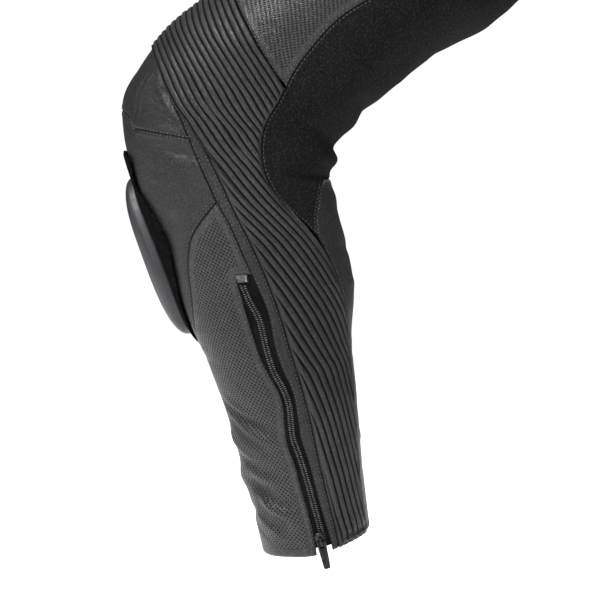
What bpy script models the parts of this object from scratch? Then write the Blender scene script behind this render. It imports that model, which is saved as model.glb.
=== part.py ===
"""Leather motorcycle trousers, in the hollow form they keep on a rider: knees bent and legs apart.

The garment hangs from its waist opening, whose centre is the origin. +Z is up, the wearer faces -Y.
The right leg (x < 0) is drawn; the left one is its mirror image.

Every place on a leg is given by two numbers:
  level  mm along the leg, from 0 at the hem to about 1012 at the top of the waistband
  turn   per cent of the way round: 0 inner leg line (centre front above the crotch), 25 front,
         42 side seam, 75 or -25 back, 100 inner leg line again (centre back above the crotch)
"""
import math

import bmesh
import bpy
import numpy as np
from mathutils import Matrix, Vector
from mathutils.geometry import delaunay_2d_cdt

MM = 0.001

# ------------------------------------------------------------------ driving sizes
HIP_JOINT = np.array([-0.092, 0.010, -0.150])
LEG_SPREAD = math.radians(35)      # each leg is swung out this far from straight ahead
WALL = 2.0 * MM                    # leather and its backing
SEAM_GAP = 0.3 * MM                # clear space between two pieces at a seam
EDGE_STEP = 18 * MM                # spacing of points along a cut edge
FACE_STEP = 27 * MM                # spacing of points inside a panel
LATTICE_ROW = 0.87                 # rows of points inside a panel, as a share of their spacing
LATTICE_CLEAR = 0.42               # and their least distance from an edge
MITRE_LIMIT = 0.25                 # keeps a sharp corner of a seam from running out too far
TURN_STEPS = 180
LEVEL_STEP = 5.0                   # mm

# One row for each section of the leg, in side view, measured from the hip joint.
LEG_SECTIONS = (
    # name         front mm: back, up   rear mm: back, up   half width mm: inner, outer
    ("hem",            -290, -664,         -193, -641,          50, 50),
    ("ankle",          -304, -606,         -200, -580,          53, 53),
    ("low calf",       -320, -546,         -205, -520,          57, 57),
    ("mid calf",       -339, -492,         -210, -467,          61, 61),
    ("top calf",       -359, -446,         -208, -426,          63, 64),
    ("under knee",     -382, -385,         -216, -379,          65, 66),
    ("low knee",       -400, -336,         -227, -341,          67, 68),
    ("knee",           -413, -286,         -229, -313,          69, 70),
    ("top knee",       -413, -255,         -224, -296,          71, 72),
    ("over knee",      -396, -225,         -210, -277,          74, 75),
    ("low thigh",      -374, -197,         -186, -256,          77, 78),
    ("thigh",          -327, -160,         -144, -222,          82, 82),
)
THIGH_SECTIONS = 5                 # sections between the thigh row above and the crotch

# The general figure under the hip part: round thighs, an egg-shaped pelvis and the seat.
THIGH_RADIUS = (0.0846, 0.098)     # above the knee, at the hip joint
PELVIS_CENTRE = np.array([0.0, 0.010, -0.070])
PELVIS_RADII = np.array([0.176, 0.138, 0.150])
SEAT_CENTRE = np.array([-0.078, 0.052, -0.150])
SEAT_RADIUS = 0.094
FIGURE_BLEND = 0.045
CROTCH_REACH = 0.105               # from the crotch point to the middle of the crotch section
CENTRE_SHARE = 0.12                # leg and hip are faired apart this near the centre line

HIP_SECTIONS = (
    # name       height mm   side rises deg   front drops deg   middle moved out, share
    ("fork",        -197,         29,              0,                0.34),
    ("seat",        -160,         22.5,            2,                0.20),
    ("hip",         -118,         15,              5,                0.08),
    ("high hip",     -78,          7.5,            8,                0.02),
    ("band low",     -40,          1,             10,                0.0),
    ("band top",       0,          0,             10,                0.0),
)
CROTCH_RISE = 35                   # deg, slope of the section through the crotch

# The largest folds: soft ridges (height above 0) and troughs (below 0) in the cloth.
FOLDS = (
    # level  turn   length mm  slant deg  width mm  height mm
    (370,   -24.0,   105,        0,        11,        5.5),     # roll of cloth behind the knee
    (391,   -19.0,    85,       12,         7,       -4.0),
    (346,   -17.0,    80,       -4,         7,       -4.0),
    (320,   -27.0,    70,        6,        12,        2.5),
    (413,   -28.0,    80,       10,        12,        3.0),
    (438,   -22.0,    60,       14,         9,       -2.5),
    (370,    11.0,    60,        2,         5,        1.8),     # knee seam stands proud
    (392,    12.0,    55,      -24,         8,       -2.0),
    (355,     8.0,    50,        4,         6,       -2.0),
    (124,    12.0,    80,       14,         8,       -2.5),     # shin, above the zip's middle
    (106,     17.0,    60,       10,        10,        2.0),
    (42,      8.5,    50,       20,         8,        3.2),     # ridge over the ankle
    (30,     12.0,    45,       18,         6,       -2.2),
    (64,     15.0,    60,       12,         8,       -2.2),
    (128,    60.0,    90,       -8,        12,        2.5),     # outer calf
    (68,     66.0,    70,        6,        10,       -2.2),
    (358,    56.0,    90,        8,        10,       -3.0),     # outer side of the knee
    (380,    54.0,    80,       -6,        11,        3.0),
    (568,    82.0,   120,       18,        16,        3.0),     # back of the thigh
    (628,    78.0,   120,       14,        15,       -3.0),
    (764,    16.0,   100,      -24,        15,       -3.5),     # groin
    (734,    18.0,   110,      -22,        16,        3.0),
    (800,    88.0,    90,       20,        14,       -3.5),     # under the seat
    (770,    84.0,   100,       16,        14,        3.0),
)
NOMINAL_GIRTH = 500.0              # mm, turns a share of a turn round the leg into a length
HEM_FADE = 20                      # mm above the hem over which the folds begin

# Ribs of the accordion panel. The number of the rib at a place is at_inner_line + per_turn * turn.
RIB_FIELD = (
    # level  at inner line  per per cent of turn
    (0,         31.0,          0.50),
    (30,        30.5,          0.53),
    (62,        30.2,          0.57),
    (112,       29.0,          0.60),
    (158,       27.2,          0.57),
    (194,       25.1,          0.60),
    (238,       22.9,          0.69),
    (278,       20.5,          0.69),
    (314,       17.7,          0.69),
    (348,       15.4,          0.74),
    (380,       12.2,          0.75),
    (412,        7.2,          0.74),
    (434,        3.3,          0.74),
    (454,       -0.4,          0.74),
    (474,       -3.8,          0.74),
    (528,      -13.6,          0.74),
)
RIB_TURN_LIMIT = 18.6              # past this the ribs run level round the front of the thigh
RIB_TURN_SOFT = 4.0
RIB_HEIGHT = 2.4 * MM
RIB_TAPER = 7 * MM                 # the ribs sink into their seams over this length
RIB_LINE_STEP = 22 * MM
RIB_EDGE_CLEAR = 4 * MM
RIB_LEVELS = (0, 560)              # mm, the panel lies between these levels
RIB_LEVEL_STEP = 0.5
RIB_COUNT = 32                     # more than the ribs met on any line along the leg
RIB_SLANTS = (-0.20, 0.95)         # turn share at the hem of the first and last line across the ribs
RIB_POWER = 0.5                    # below 1 the ribs are flat on top with narrow valleys

# Corners where cut pieces meet: level, turn.
CORNERS = {
    "hem_side": (0, 42), "hem_zip": (0, 0.6), "hem_strip_front": (0, -3.5), "hem_strip_back": (0, -6.6),
    "hem_rib_back": (0, -18.5), "hem_calf": (0, -40),
    "zip_top_front": (250, 4.8), "zip_top_back": (250, 1.3),
    "shin_inner": (316, 2.9), "shin_side": (186, 42),
    "knee_inner": (366, 5.0), "knee_front": (368, 15.6), "knee_side": (358, 42), "knee_top": (421, 15.6),
    "strip_low": (426, 42), "strip_high": (438, 42), "rib_side": (520, 42), "rib_top": (429, -4.8),
    "cloth_calf": (284, -12.6), "calf_top": (345, -20.0), "calf_outer": (346, -40),
    "gusset_front": (804, 5), "gusset_middle": (804, 0), "gusset_back": (804, -9),
    "crotch": (None, 0), "waist_front": ("band low", 0), "waist_side": ("band low", 42),
    "waist_back": ("band low", 100), "band_front": ("band top", 0), "band_side": ("band top", 42),
    "band_back": ("band top", 100),
}

# Seams and edges: the two corners, then the places in between.
SEAMS = {
    "side_shin": ("hem_side", "shin_side"),
    "side_shin_top": ("shin_side", "knee_side"),
    "side_knee": ("knee_side", "strip_low"),
    "side_strip": ("strip_low", "strip_high"),
    "side_ribs": ("strip_high", "rib_side"),
    "side_thigh": ("rib_side", "waist_side"),
    "hem_shin": ("hem_side", "hem_zip"),
    "hem_zip": ("hem_zip", "hem_strip_front"),
    "hem_strip": ("hem_strip_front", "hem_strip_back"),
    "hem_ribs": ("hem_strip_back", "hem_rib_back"),
    "hem_calf_back": ("hem_rib_back", "hem_calf"),
    "hem_calf_outer": ("hem_calf", "hem_side"),
    "zip_front": ("hem_zip", "zip_top_front", (56, 1.2), (114, 2.4), (164, 3.7), (204, 4.6)),
    "zip_top": ("zip_top_front", "zip_top_back"),
    "strip_front_hem": ("hem_strip_front", "zip_top_back", (30, -3.0), (84, -2.2), (128, -1.6), (192, -0.4)),
    "strip_front_shin": ("zip_top_back", "shin_inner", (272, 1.7), (298, 2.2)),
    "strip_front_low": ("shin_inner", "knee_inner", (342, 3.8)),
    "strip_front_knee": ("knee_inner", "knee_top", (380, 6.4), (398, 9.8), (411, 12.8)),
    "strip_front_top": ("knee_top", "strip_low", (432, 19.5), (438, 25), (438, 32)),
    "strip_back": ("hem_strip_back", "strip_high", (32, -5.8), (78, -4.6), (118, -3.9), (158, -3.2),
                   (188, -2.4), (236, -1.2), (266, -0.5), (298, 0.4), (328, 1.2), (348, 2.1),
                   (366, 3.4), (384, 5.6), (394, 7.4), (410, 11.0), (426, 15.0), (438, 19.0),
                   (447, 25), (448, 32)),
    "rib_back_low": ("hem_rib_back", "cloth_calf", (62, -18.2), (108, -19.0), (158, -20.0), (182, -19.4),
                     (208, -17.4), (232, -15.8), (256, -14.5)),
    "rib_back_high": ("cloth_calf", "rib_top", (294, -11.2), (308, -9.0), (324, -7.0), (344, -6.0),
                      (368, -5.7), (398, -5.6), (414, -5.4)),
    "thigh_cloth": ("rib_top", "gusset_front", (446, -3.9), (478, -2.9), (508, -2.0), (588, 0.5), (708, 3.5)),
    "gusset_front": ("gusset_front", "gusset_middle"),
    "gusset_back": ("gusset_middle", "gusset_back"),
    "inseam": ("gusset_middle", "crotch"),
    "calf_cloth": ("cloth_calf", "calf_top", (298, -13.4), (320, -15.8), (336, -17.6)),
    "calf_fold": ("calf_top", "calf_outer"),
    "calf_side": ("hem_calf", "calf_outer"),
    "knee_outer": ("calf_outer", "knee_side"),
    "seat_cloth": ("calf_outer", "gusset_back", (448, -38), (568, -33), (708, -20)),
    "knee_seam": ("knee_inner", "knee_front"),
    "knee_seam_front": ("knee_front", "knee_side"),
    "knee_centre": ("knee_front", "knee_top"),
    "shin_seam": ("shin_inner", "shin_side", (304, 5.6), (284, 10.0), (262, 13.0), (232, 15.9), (204, 21.5),
                  (192, 30)),
    "waist_front": ("waist_front", "waist_side"),
    "waist_back": ("waist_side", "waist_back"),
    "band_front": ("band_front", "band_side"),
    "band_back": ("band_side", "band_back"),
    "band_end_front": ("waist_front", "band_front"),
    "band_end_back": ("waist_back", "band_back"),
    "rise_front": ("crotch", "waist_front"),
    "rise_back": ("crotch", "waist_back"),
}

# Cut pieces of one leg: where their turns start, the finish, and the edges in order round them.
PANELS = {
    "front_thigh": (-50, "perforated leather", ("rib_top_edge", "side_thigh", "waist_front", "rise_front",
                                                "inseam", "gusset_front", "thigh_cloth")),
    "seat": (41, "leather", ("knee_outer", "side_knee", "side_strip", "side_ribs", "side_thigh", "waist_back",
                             "rise_back", "inseam", "gusset_back", "seat_cloth")),
    "stretch": (-50, "stretch cloth", ("calf_cloth", "calf_fold", "seat_cloth", "gusset_back", "gusset_front",
                                       "thigh_cloth", "rib_back_high")),
    "calf_back": (-50, "leather", ("hem_calf_back", "calf_side", "calf_fold", "calf_cloth", "rib_back_low")),
    "calf_outer": (-60, "leather", ("hem_calf_outer", "side_shin", "side_shin_top", "knee_outer",
                                    "calf_side")),
    "strip": (-50, "leather", ("hem_strip", "strip_back", "side_strip", "strip_front_top",
                               "strip_front_knee", "strip_front_low", "strip_front_shin",
                               "strip_front_hem")),
    "knee_upper": (-50, "leather", ("knee_seam", "knee_centre", "strip_front_knee")),
    "knee_front": (-50, "leather", ("knee_seam_front", "side_knee", "strip_front_top", "knee_centre")),
    "knee_lower": (-50, "leather", ("shin_seam", "side_shin_top", "knee_seam_front", "knee_seam",
                                    "strip_front_low")),
    "shin_perforated": (-50, "perforated leather", ("hem_shin", "zip_front", "zip_top", "strip_front_shin",
                                                    "shin_seam", "side_shin")),
    "waistband": (None, "leather", ("waist_front", "waist_back", "band_end_back", "band_back", "band_front",
                                 "band_end_front")),
}

# Colour (linear), roughness and metallic of each finish.
FINISHES = {
    "leather": ((0.030, 0.029, 0.030), 0.50, 0.0),
    "perforated leather": ((0.034, 0.033, 0.034), 0.45, 0.0),
    "ribbed leather": ((0.026, 0.025, 0.026), 0.48, 0.0),
    "stretch cloth": ((0.012, 0.012, 0.013), 0.92, 0.0),
    "hook and loop": ((0.008, 0.008, 0.008), 0.95, 0.0),
    "zip tape": ((0.012, 0.012, 0.012), 0.85, 0.0),
    "slider plastic": ((0.020, 0.021, 0.024), 0.28, 0.0),
    "dark zinc": ((0.16, 0.16, 0.17), 0.35, 1.0),
    "nickel": ((0.55, 0.54, 0.52), 0.30, 1.0),
}

ZIP_LEVELS = (4, 246)              # the coil's two ends
ZIP_COIL = (0.38, 0.62, 1.3 * MM)  # share across the tape where the coil lies, and its height
ZIP_SHOULDER = 0.14                # share across the tape over which the coil rises
ZIP_ROW_STEP = 13.0                # mm

PATCH_OUTLINE = ((346, 19.5), (326, 21.0), (314, 18.2), (298, 16.4), (281, 15.7), (266, 16.7), (248, 18.3),
                 (230, 20.8), (208, 24.0), (192, 30.0), (204, 38.0), (240, 41.0), (288, 41.2),
                 (330, 39.0), (348, 33.0), (352, 25.0))
PATCH_LIFT = 0.9 * MM
PATCH_THICK = 1.6 * MM
PATCH_EDGE_STEP, PATCH_FACE_STEP = 12 * MM, 17 * MM

PUCK_CENTRE = (270, 31.0)          # level, turn
PUCK_HALF = (66, 44)               # mm along and across the leg
PUCK_SLANT = math.radians(6)
PUCK_THICK = 17 * MM
PUCK_CLEAR = 0.8 * MM
PUCK_POWER = 2.5                   # the outline lies between an ellipse (2) and a rectangle
PUCK_SPOKES = 30
PUCK_RINGS = ((0.0, 1.0), (0.35, 0.985), (0.65, 0.93), (0.86, 0.80), (0.96, 0.62), (1.0, 0.40))

END_TAB = ((246, 1.9), (246, 4.2), (260, 4.6), (260, 2.3))
END_TAB_LIFT = 0.5 * MM
END_TAB_THICK = 1.2 * MM
END_TAB_EDGE_STEP, END_TAB_FACE_STEP = 6 * MM, 8 * MM

FLY_HALF_TURN = 5.2                # per cent either side of the centre front
FLY_LEVELS = (884, 968)
TAB_TURNS = (-6.0, 9.0)
TAB_LEVELS = (977, 1008)
WAIST_GIRTH = 870.0                # mm, turns a share of a turn round the waist into a length
FLY_STEP, TAB_STEP = 14, 10        # mm between rows of points
LAID_ON_LIFT = 1.3 * MM
LAID_ON_THICK = 1.6 * MM
SNAP_TURN = 4.5
SNAP_RADIUS = 7.5 * MM
SNAP_THICK = 2.6 * MM
SNAP_SIDES = 24
SNAP_TAPER = 0.86                  # top radius as a share of the foot's

SLIDER_LEVEL = 11                  # level and turn of the slider's middle
SLIDER_TURN = -1.5
SLIDER_SIZE = (9.5 * MM, 15.0 * MM, 3.2 * MM)     # across, along, thick
SLIDER_LIFT = 2.0 * MM
CROWN_BAR = 1.6 * MM
CROWN_SPAN = 9.0 * MM
CROWN_RISE = 4.4 * MM
PULL_SIZE = (8.0 * MM, 25.0 * MM, 1.5 * MM)
PULL_EYE = (4.6 * MM, 6.2 * MM)
PULL_BAR = 1.5 * MM
BEVEL_FINE = 0.4 * MM

# ------------------------------------------------------------------ form of the leg and the hip

OUTWARD = np.array([-math.cos(LEG_SPREAD), math.sin(LEG_SPREAD), 0.0])
REARWARD = np.array([math.sin(LEG_SPREAD), math.cos(LEG_SPREAD), 0.0])
UPWARD = np.array([0.0, 0.0, 1.0])
TURNS = np.linspace(0, 1, TURN_STEPS + 1)


def unit(v):
    """Vectors of length 1 along v."""
    return v / np.linalg.norm(v, axis=-1, keepdims=True)


def leg_point(back_mm, up_mm):
    """A place in the leg's own middle plane, from the hip joint."""
    return HIP_JOINT + REARWARD * (back_mm * MM) + UPWARD * (up_mm * MM)


def smooth_min(a, b, width):
    """The smaller of two distances, with a rounded change from one to the other."""
    h = np.clip(0.5 + 0.5 * (b - a) / width, 0, 1)
    return b * (1 - h) + a * h - width * h * (1 - h)


THIGH_END = leg_point((LEG_SECTIONS[-1][1] + LEG_SECTIONS[-1][3]) / 2,
                      (LEG_SECTIONS[-1][2] + LEG_SECTIONS[-1][4]) / 2)


def thigh_distance(p, side):
    """Distance to a round cone from the hip joint to a little past the thigh's lower end."""
    flip = np.array([side, 1, 1])
    start = HIP_JOINT * flip
    end = (THIGH_END + (THIGH_END - HIP_JOINT) * 0.2) * flip
    low, high = THIGH_RADIUS
    axis = end - start
    share = np.clip(((p - start) @ axis) / (axis @ axis), 0, 1)
    radius = high + (low - 0.2 * (high - low) - high) * share
    return np.linalg.norm(p - start - share[..., None] * axis, axis=-1) - radius


def figure_distance(p):
    """Below 0 inside the general figure of hips, seat and thighs."""
    q = (p - PELVIS_CENTRE) / PELVIS_RADII
    size = np.linalg.norm(q, axis=-1)
    total = size * (size - 1) / np.maximum(np.linalg.norm(q / PELVIS_RADII, axis=-1), 1e-6)
    for side in (1, -1):
        seat = np.linalg.norm(p - SEAT_CENTRE * np.array([side, 1, 1]), axis=-1) - SEAT_RADIUS
        leg = smooth_min(thigh_distance(p, side), seat, FIGURE_BLEND * 0.6)
        total = smooth_min(total, leg, FIGURE_BLEND)
    return total


def cast(origin, direction, reach=0.35, steps=140):
    """Where rays from inside the figure first leave it: marched, then halved."""
    stops = np.linspace(0.0, reach, steps + 1)
    depth = origin + direction[:, None, :] * stops[None, :, None]
    outside = figure_distance(depth) > 0
    first = np.where(outside.any(axis=1), outside.argmax(axis=1), steps)
    low, high = stops[first - 1], stops[first]
    for _ in range(22):
        middle = (low + high) / 2
        out = figure_distance(origin + direction * middle[:, None]) > 0
        high = np.where(out, middle, high)
        low = np.where(out, low, middle)
    return origin + direction * high[:, None]


def leg_section(row):
    """An egg-shaped ring through the section's front and rear points, as wide as its half widths."""
    _, front_back, front_up, rear_back, rear_up, inner, outer = row
    front, rear = leg_point(front_back, front_up), leg_point(rear_back, rear_up)
    angle = math.pi * (1 - 2 * TURNS)
    width = np.where(np.cos(angle) > 0, outer, inner) * MM
    return ((front + rear) / 2 + (front - rear) / 2 * np.sin(angle)[:, None]
            + OUTWARD * (width * np.cos(angle))[:, None])


def figure_section(origin, to_side, to_front, first, last):
    """The ring where a fan of rays meets the figure, from angle first over 0 to angle last."""
    angle = np.where(TURNS < 0.5, first * (1 - 2 * TURNS), last * (2 * TURNS - 1))
    rays = to_side * np.cos(angle)[:, None] + to_front * np.sin(angle)[:, None]
    return cast(origin, rays)


def crotch_point():
    """The lowest place of the figure in the middle plane."""
    y, z = np.meshgrid(np.linspace(-0.06, 0.10, 33), np.linspace(-0.15, -0.32, 400), indexing="ij")
    p = np.stack([np.zeros_like(y), y, z], -1)
    low = np.where(figure_distance(p) < 0, z, 1).min(axis=1)
    return np.array([0.0, y[low.argmin(), 0], low.min()])


def all_sections():
    """Every section from the hem to the waist: names and rings of points."""
    names = [row[0] for row in LEG_SECTIONS]
    rings = [leg_section(row) for row in LEG_SECTIONS]
    crotch = crotch_point()
    rise = math.radians(CROTCH_RISE)
    crotch_side = np.array([-math.cos(rise), 0, math.sin(rise)])
    crotch_front = np.array([0.0, -1.0, 0.0])
    middle = crotch + crotch_side * CROTCH_REACH
    top = LEG_SECTIONS[-1]
    front = unit(leg_point(top[1], top[2]) - THIGH_END)
    for i in range(1, THIGH_SECTIONS + 2):
        share = i / (THIGH_SECTIONS + 1)
        to_side = unit(OUTWARD * (1 - share) + crotch_side * share)
        to_front = front * (1 - share) + crotch_front * share
        to_front = unit(to_front - to_side * (to_front @ to_side))
        rings.append(figure_section(THIGH_END * (1 - share) + middle * share, to_side, to_front,
                                    math.pi, -math.pi))
        names.append(f"thigh {i}")
    names[-1] = "crotch"
    rings[-1][0] = rings[-1][-1] = crotch
    for name, height, rise, drop, out in HIP_SECTIONS:
        rise, drop = math.radians(rise), math.radians(drop)
        to_side = np.array([-math.cos(rise), 0, math.sin(rise)])
        to_front = np.array([0.0, -math.cos(drop), -math.sin(drop)])
        front, rear = cast(np.array([0, 0, height * MM]), np.array([to_front, -to_front]))
        centre = (front + rear) / 2
        origin = centre + (cast(centre, to_side[None])[0] - centre) * out
        basis = np.linalg.pinv(np.stack([to_front, to_side], 1))
        ends = [math.atan2(*(basis @ (p - origin))) for p in (front, rear)]
        ring = figure_section(origin, to_side, to_front, *ends)
        ring[0], ring[-1] = front, rear
        rings.append(ring)
        names.append(name)
    return names, np.array(rings)


def smooth_rows(x, known, values):
    """A smooth curve through rows of values known at some x (cubic Hermite)."""
    shape = (-1,) + (1,) * (values.ndim - 1)
    gap = np.diff(known)
    slope = np.diff(values, axis=0) / gap.reshape(shape)
    left, right = gap[:-1].reshape(shape), gap[1:].reshape(shape)
    tangent = np.concatenate([slope[:1], (slope[:-1] * right + slope[1:] * left) / (left + right), slope[-1:]])
    i = np.clip(np.searchsorted(known, x, side="right") - 1, 0, len(known) - 2)
    h = gap[i].reshape(shape)
    u = ((x - known[i]) / gap[i]).reshape(shape)
    return ((2 * u**3 - 3 * u**2 + 1) * values[i] + (u**3 - 2 * u**2 + u) * h * tangent[i]
            + (3 * u**2 - 2 * u**3) * values[i + 1] + (u**3 - u**2) * h * tangent[i + 1])


def fold_height(level, turn):
    """How far the folds lift the cloth at a place, in metres; level in mm, turn as a share."""
    total = np.zeros(np.broadcast(level, turn).shape)
    for f_level, f_turn, length, slant, width, height in FOLDS:
        away = (turn - f_turn / 100 + 0.5) % 1.0 - 0.5
        x, y = away * NOMINAL_GIRTH, level - f_level
        c, s = math.cos(math.radians(slant)), math.sin(math.radians(slant))
        along, across = x * c + y * s, y * c - x * s
        total += height * MM * np.exp(-(across / width) ** 2 - (2 * along / length) ** 4)
    return total


def form_grid():
    """Points and outward directions of the whole right half on a fine grid of levels and turns."""
    names, rings = all_sections()
    step = np.linalg.norm(np.diff(rings, axis=0), axis=2).mean(axis=1) / MM
    known = np.concatenate([[0.0], np.cumsum(step)])
    section_level = dict(zip(names, known))
    levels = np.append(np.arange(0, known[-1], LEVEL_STEP), known[-1])
    levels = np.unique(np.concatenate([levels, [section_level["crotch"], section_level["band low"]]]))
    points = smooth_rows(levels, known, rings)
    closed = levels <= section_level["crotch"] + 1e-6
    fork = names.index("crotch")
    parted = np.concatenate([smooth_rows(levels[closed], known[:fork + 1], rings[:fork + 1]),
                             smooth_rows(levels[~closed], known[fork:], rings[fork:])])
    near = np.clip(np.minimum(TURNS, 1 - TURNS) / CENTRE_SHARE, 0, 1)[:, None]
    near = near * near * (3 - 2 * near)
    points = parted * (1 - near) + points * near

    def outward(p):
        along = np.gradient(p, levels, axis=0)
        around = np.gradient(p, axis=1)
        around[closed, 0] = around[closed, -1] = (p[closed, 1] - p[closed, -2]) / 2
        n = unit(np.cross(along, around))
        n[~closed, 0, 0] = n[~closed, -1, 0] = 0
        row = np.searchsorted(levels, section_level["crotch"])
        n[row, 0, 0] = n[row, -1, 0] = 0
        n[row, 0] = n[row, -1] = n[row, 0] + n[row, -1]
        return unit(n)

    normal = outward(points)
    fade = np.clip(levels[:, None] / HEM_FADE, 0, 1)
    points = points + normal * (fold_height(levels[:, None], TURNS[None, :]) * fade)[..., None]
    return levels, points, outward(points), section_level


GRID_LEVELS, GRID_POINTS, GRID_NORMALS, SECTION_LEVEL = form_grid()


def sample(level, turn):
    """Points and outward directions at levels in mm and turns in per cent."""
    level, turn = np.asarray(level, float), np.asarray(turn, float)
    column = np.where(turn < 0, turn + 100, turn) / 100 * TURN_STEPS
    j = np.clip(column.astype(int), 0, TURN_STEPS - 1)
    i = np.clip(np.searchsorted(GRID_LEVELS, level, side="right") - 1, 0, len(GRID_LEVELS) - 2)
    v = (column - j)[..., None]
    u = ((level - GRID_LEVELS[i]) / (GRID_LEVELS[i + 1] - GRID_LEVELS[i]))[..., None]

    def mix(grid):
        return ((grid[i, j] * (1 - u) + grid[i + 1, j] * u) * (1 - v)
                + (grid[i, j + 1] * (1 - u) + grid[i + 1, j + 1] * u) * v)

    return mix(GRID_POINTS), unit(mix(GRID_NORMALS))


# ------------------------------------------------------------------ seams

def corner(name):
    """Level and turn of a corner, the named sections looked up."""
    level, turn = CORNERS[name]
    if level is None:
        level = SECTION_LEVEL["crotch"]
    return (SECTION_LEVEL.get(level, level), turn)


def rib_number(level, turn):
    """Which rib lies at a place: whole numbers are the stitched valleys between ribs."""
    table = np.array(RIB_FIELD, float)
    start = np.interp(level, table[:, 0], table[:, 1])
    rate = np.interp(level, table[:, 0], table[:, 2])
    over = (turn - RIB_TURN_LIMIT) / RIB_TURN_SOFT
    capped = RIB_TURN_LIMIT - RIB_TURN_SOFT * np.log1p(np.exp(-over))
    return start + rate * capped


def rib_level(number, turn):
    """The level at which a rib number is met at a turn."""
    level = np.arange(*RIB_LEVELS, RIB_LEVEL_STEP)
    return float(np.interp(-number, -rib_number(level, turn), level))


def rib_top_places():
    """The accordion panel's upper edge follows its first valley."""
    turns = np.array([-2.2, 0.6, 3.9, 6.7, 10, 13.5, 17, 20, 25, 30, 36])
    return [(rib_level(1.0, t), t) for t in turns]


def smooth_route(places, step):
    """Evenly spaced places on a smooth curve through the given ones; step is in metres."""
    places = np.array(places, float)
    points, _ = sample(places[:, 0], places[:, 1])
    along = np.concatenate([[0], np.cumsum(np.linalg.norm(np.diff(points, axis=0), axis=1))])
    count = max(1, round(along[-1] / step))
    return smooth_rows(np.linspace(0, along[-1], count + 1), along, places)


def make_seams():
    """Each seam's places, from its first corner to its last."""
    table = dict(SEAMS, rib_top_edge=("rib_top", "rib_side", *rib_top_places()))
    seams = {}
    for name, (first, last, *between) in table.items():
        start, end = corner(first), corner(last)
        if abs(start[1] - end[1]) > 70:
            end = (end[0], end[1] - 100)
        if name == "rise_back":
            start, end = (start[0], 100), (end[0], 100)
        dense = [start, *between, end]
        if not between:
            share = np.linspace(0, 1, 9)[:, None]
            dense = np.array(start) * (1 - share) + np.array(end) * share
        seams[name] = smooth_route(dense, EDGE_STEP)
    return seams


CORNERS["rib_side"] = (rib_level(1.0, 42), 42)
SEAM_PLACES = make_seams()


def panel_loop(start_turn, names):
    """The places round a cut piece, its seams chained end to end."""
    def wrapped(places):
        places = places.copy()
        if start_turn is None:
            return places
        places[:, 1] = np.round((places[:, 1] - start_turn + 1e-6) % 100 + start_turn - 1e-6, 7) + 0.0
        return places

    runs = [wrapped(SEAM_PLACES[n]) for n in names]

    def far(a, b):
        return np.abs(a - b).max()

    if min(far(runs[0][0], runs[1][0]), far(runs[0][0], runs[1][-1])) < 1e-3:
        runs[0] = runs[0][::-1]
    loop = [runs[0][:-1]]
    end = runs[0][-1]
    for name, run in zip(names[1:], runs[1:]):
        if far(end, run[0]) > far(end, run[-1]):
            run = run[::-1]
        if far(end, run[0]) > 1e-3:
            raise ValueError(f"seam {name} does not start where the last one ends: {end} {run[0]}")
        loop.append(run[:-1])
        end = run[-1]
    if far(end, loop[0][0]) > 1e-3:
        raise ValueError(f"the edges do not close: {names}")
    return np.concatenate(loop)


# ------------------------------------------------------------------ walls

def flat(places):
    """Places as flat metres: x round the leg, y along it."""
    return np.stack([places[:, 1] / 100 * NOMINAL_GIRTH * MM, places[:, 0] * MM], 1)


def edge_distance(points, loop):
    """Distance of flat points to a closed loop, above 0 inside it."""
    a, b = loop, np.roll(loop, -1, axis=0)
    ab = b - a
    ap = points[:, None, :] - a[None]
    share = np.clip((ap * ab).sum(2) / (ab * ab).sum(1), 0, 1)
    distance = np.linalg.norm(ap - share[..., None] * ab, axis=2).min(axis=1)
    above = a[None, :, 1] > points[:, None, 1]
    crosses = above != (b[None, :, 1] > points[:, None, 1])
    rise = np.where(ab[:, 1] == 0, 1e-12, ab[:, 1])
    x = a[None, :, 0] + (points[:, None, 1] - a[None, :, 1]) * (ab[:, 0] / rise)[None]
    inside = (crosses & (points[:, None, 0] < x)).sum(axis=1) % 2 == 1
    return np.where(inside, distance, -distance)


def lattice(loop, step):
    """Flat points on a triangular lattice, well inside a loop."""
    low, high = loop.min(axis=0), loop.max(axis=0)
    rows = np.arange(low[1] + step / 2, high[1], step * LATTICE_ROW)
    points = []
    for i, y in enumerate(rows):
        x = np.arange(low[0] + step / 2 * (i % 2), high[0], step)
        points.append(np.stack([x, np.full_like(x, y)], 1))
    points = np.concatenate(points)
    return points[edge_distance(points, loop) > step * LATTICE_CLEAR]


def places_of(points):
    """Flat metres turned back into level and turn."""
    return np.stack([points[:, 1] / MM, points[:, 0] / MM / NOMINAL_GIRTH * 100], 1)


def inset_loop(places):
    """Edge points of a cut piece in space, moved in by half a seam gap, and their directions."""
    p, n = sample(places[:, 0], places[:, 1])
    after = unit(np.roll(p, -1, axis=0) - p)
    before = unit(p - np.roll(p, 1, axis=0))
    m1, m2 = unit(np.cross(n, before)), unit(np.cross(n, after))
    area = flat(places)
    x, y = area[:, 0], area[:, 1]
    turned = (x * np.roll(y, -1) - np.roll(x, -1) * y).sum() > 0
    side = -1.0 if turned else 1.0
    bend = np.maximum(1 + (m1 * m2).sum(1, keepdims=True), MITRE_LIMIT)
    return p + side * (m1 + m2) / bend * (SEAM_GAP / 2), n


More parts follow.
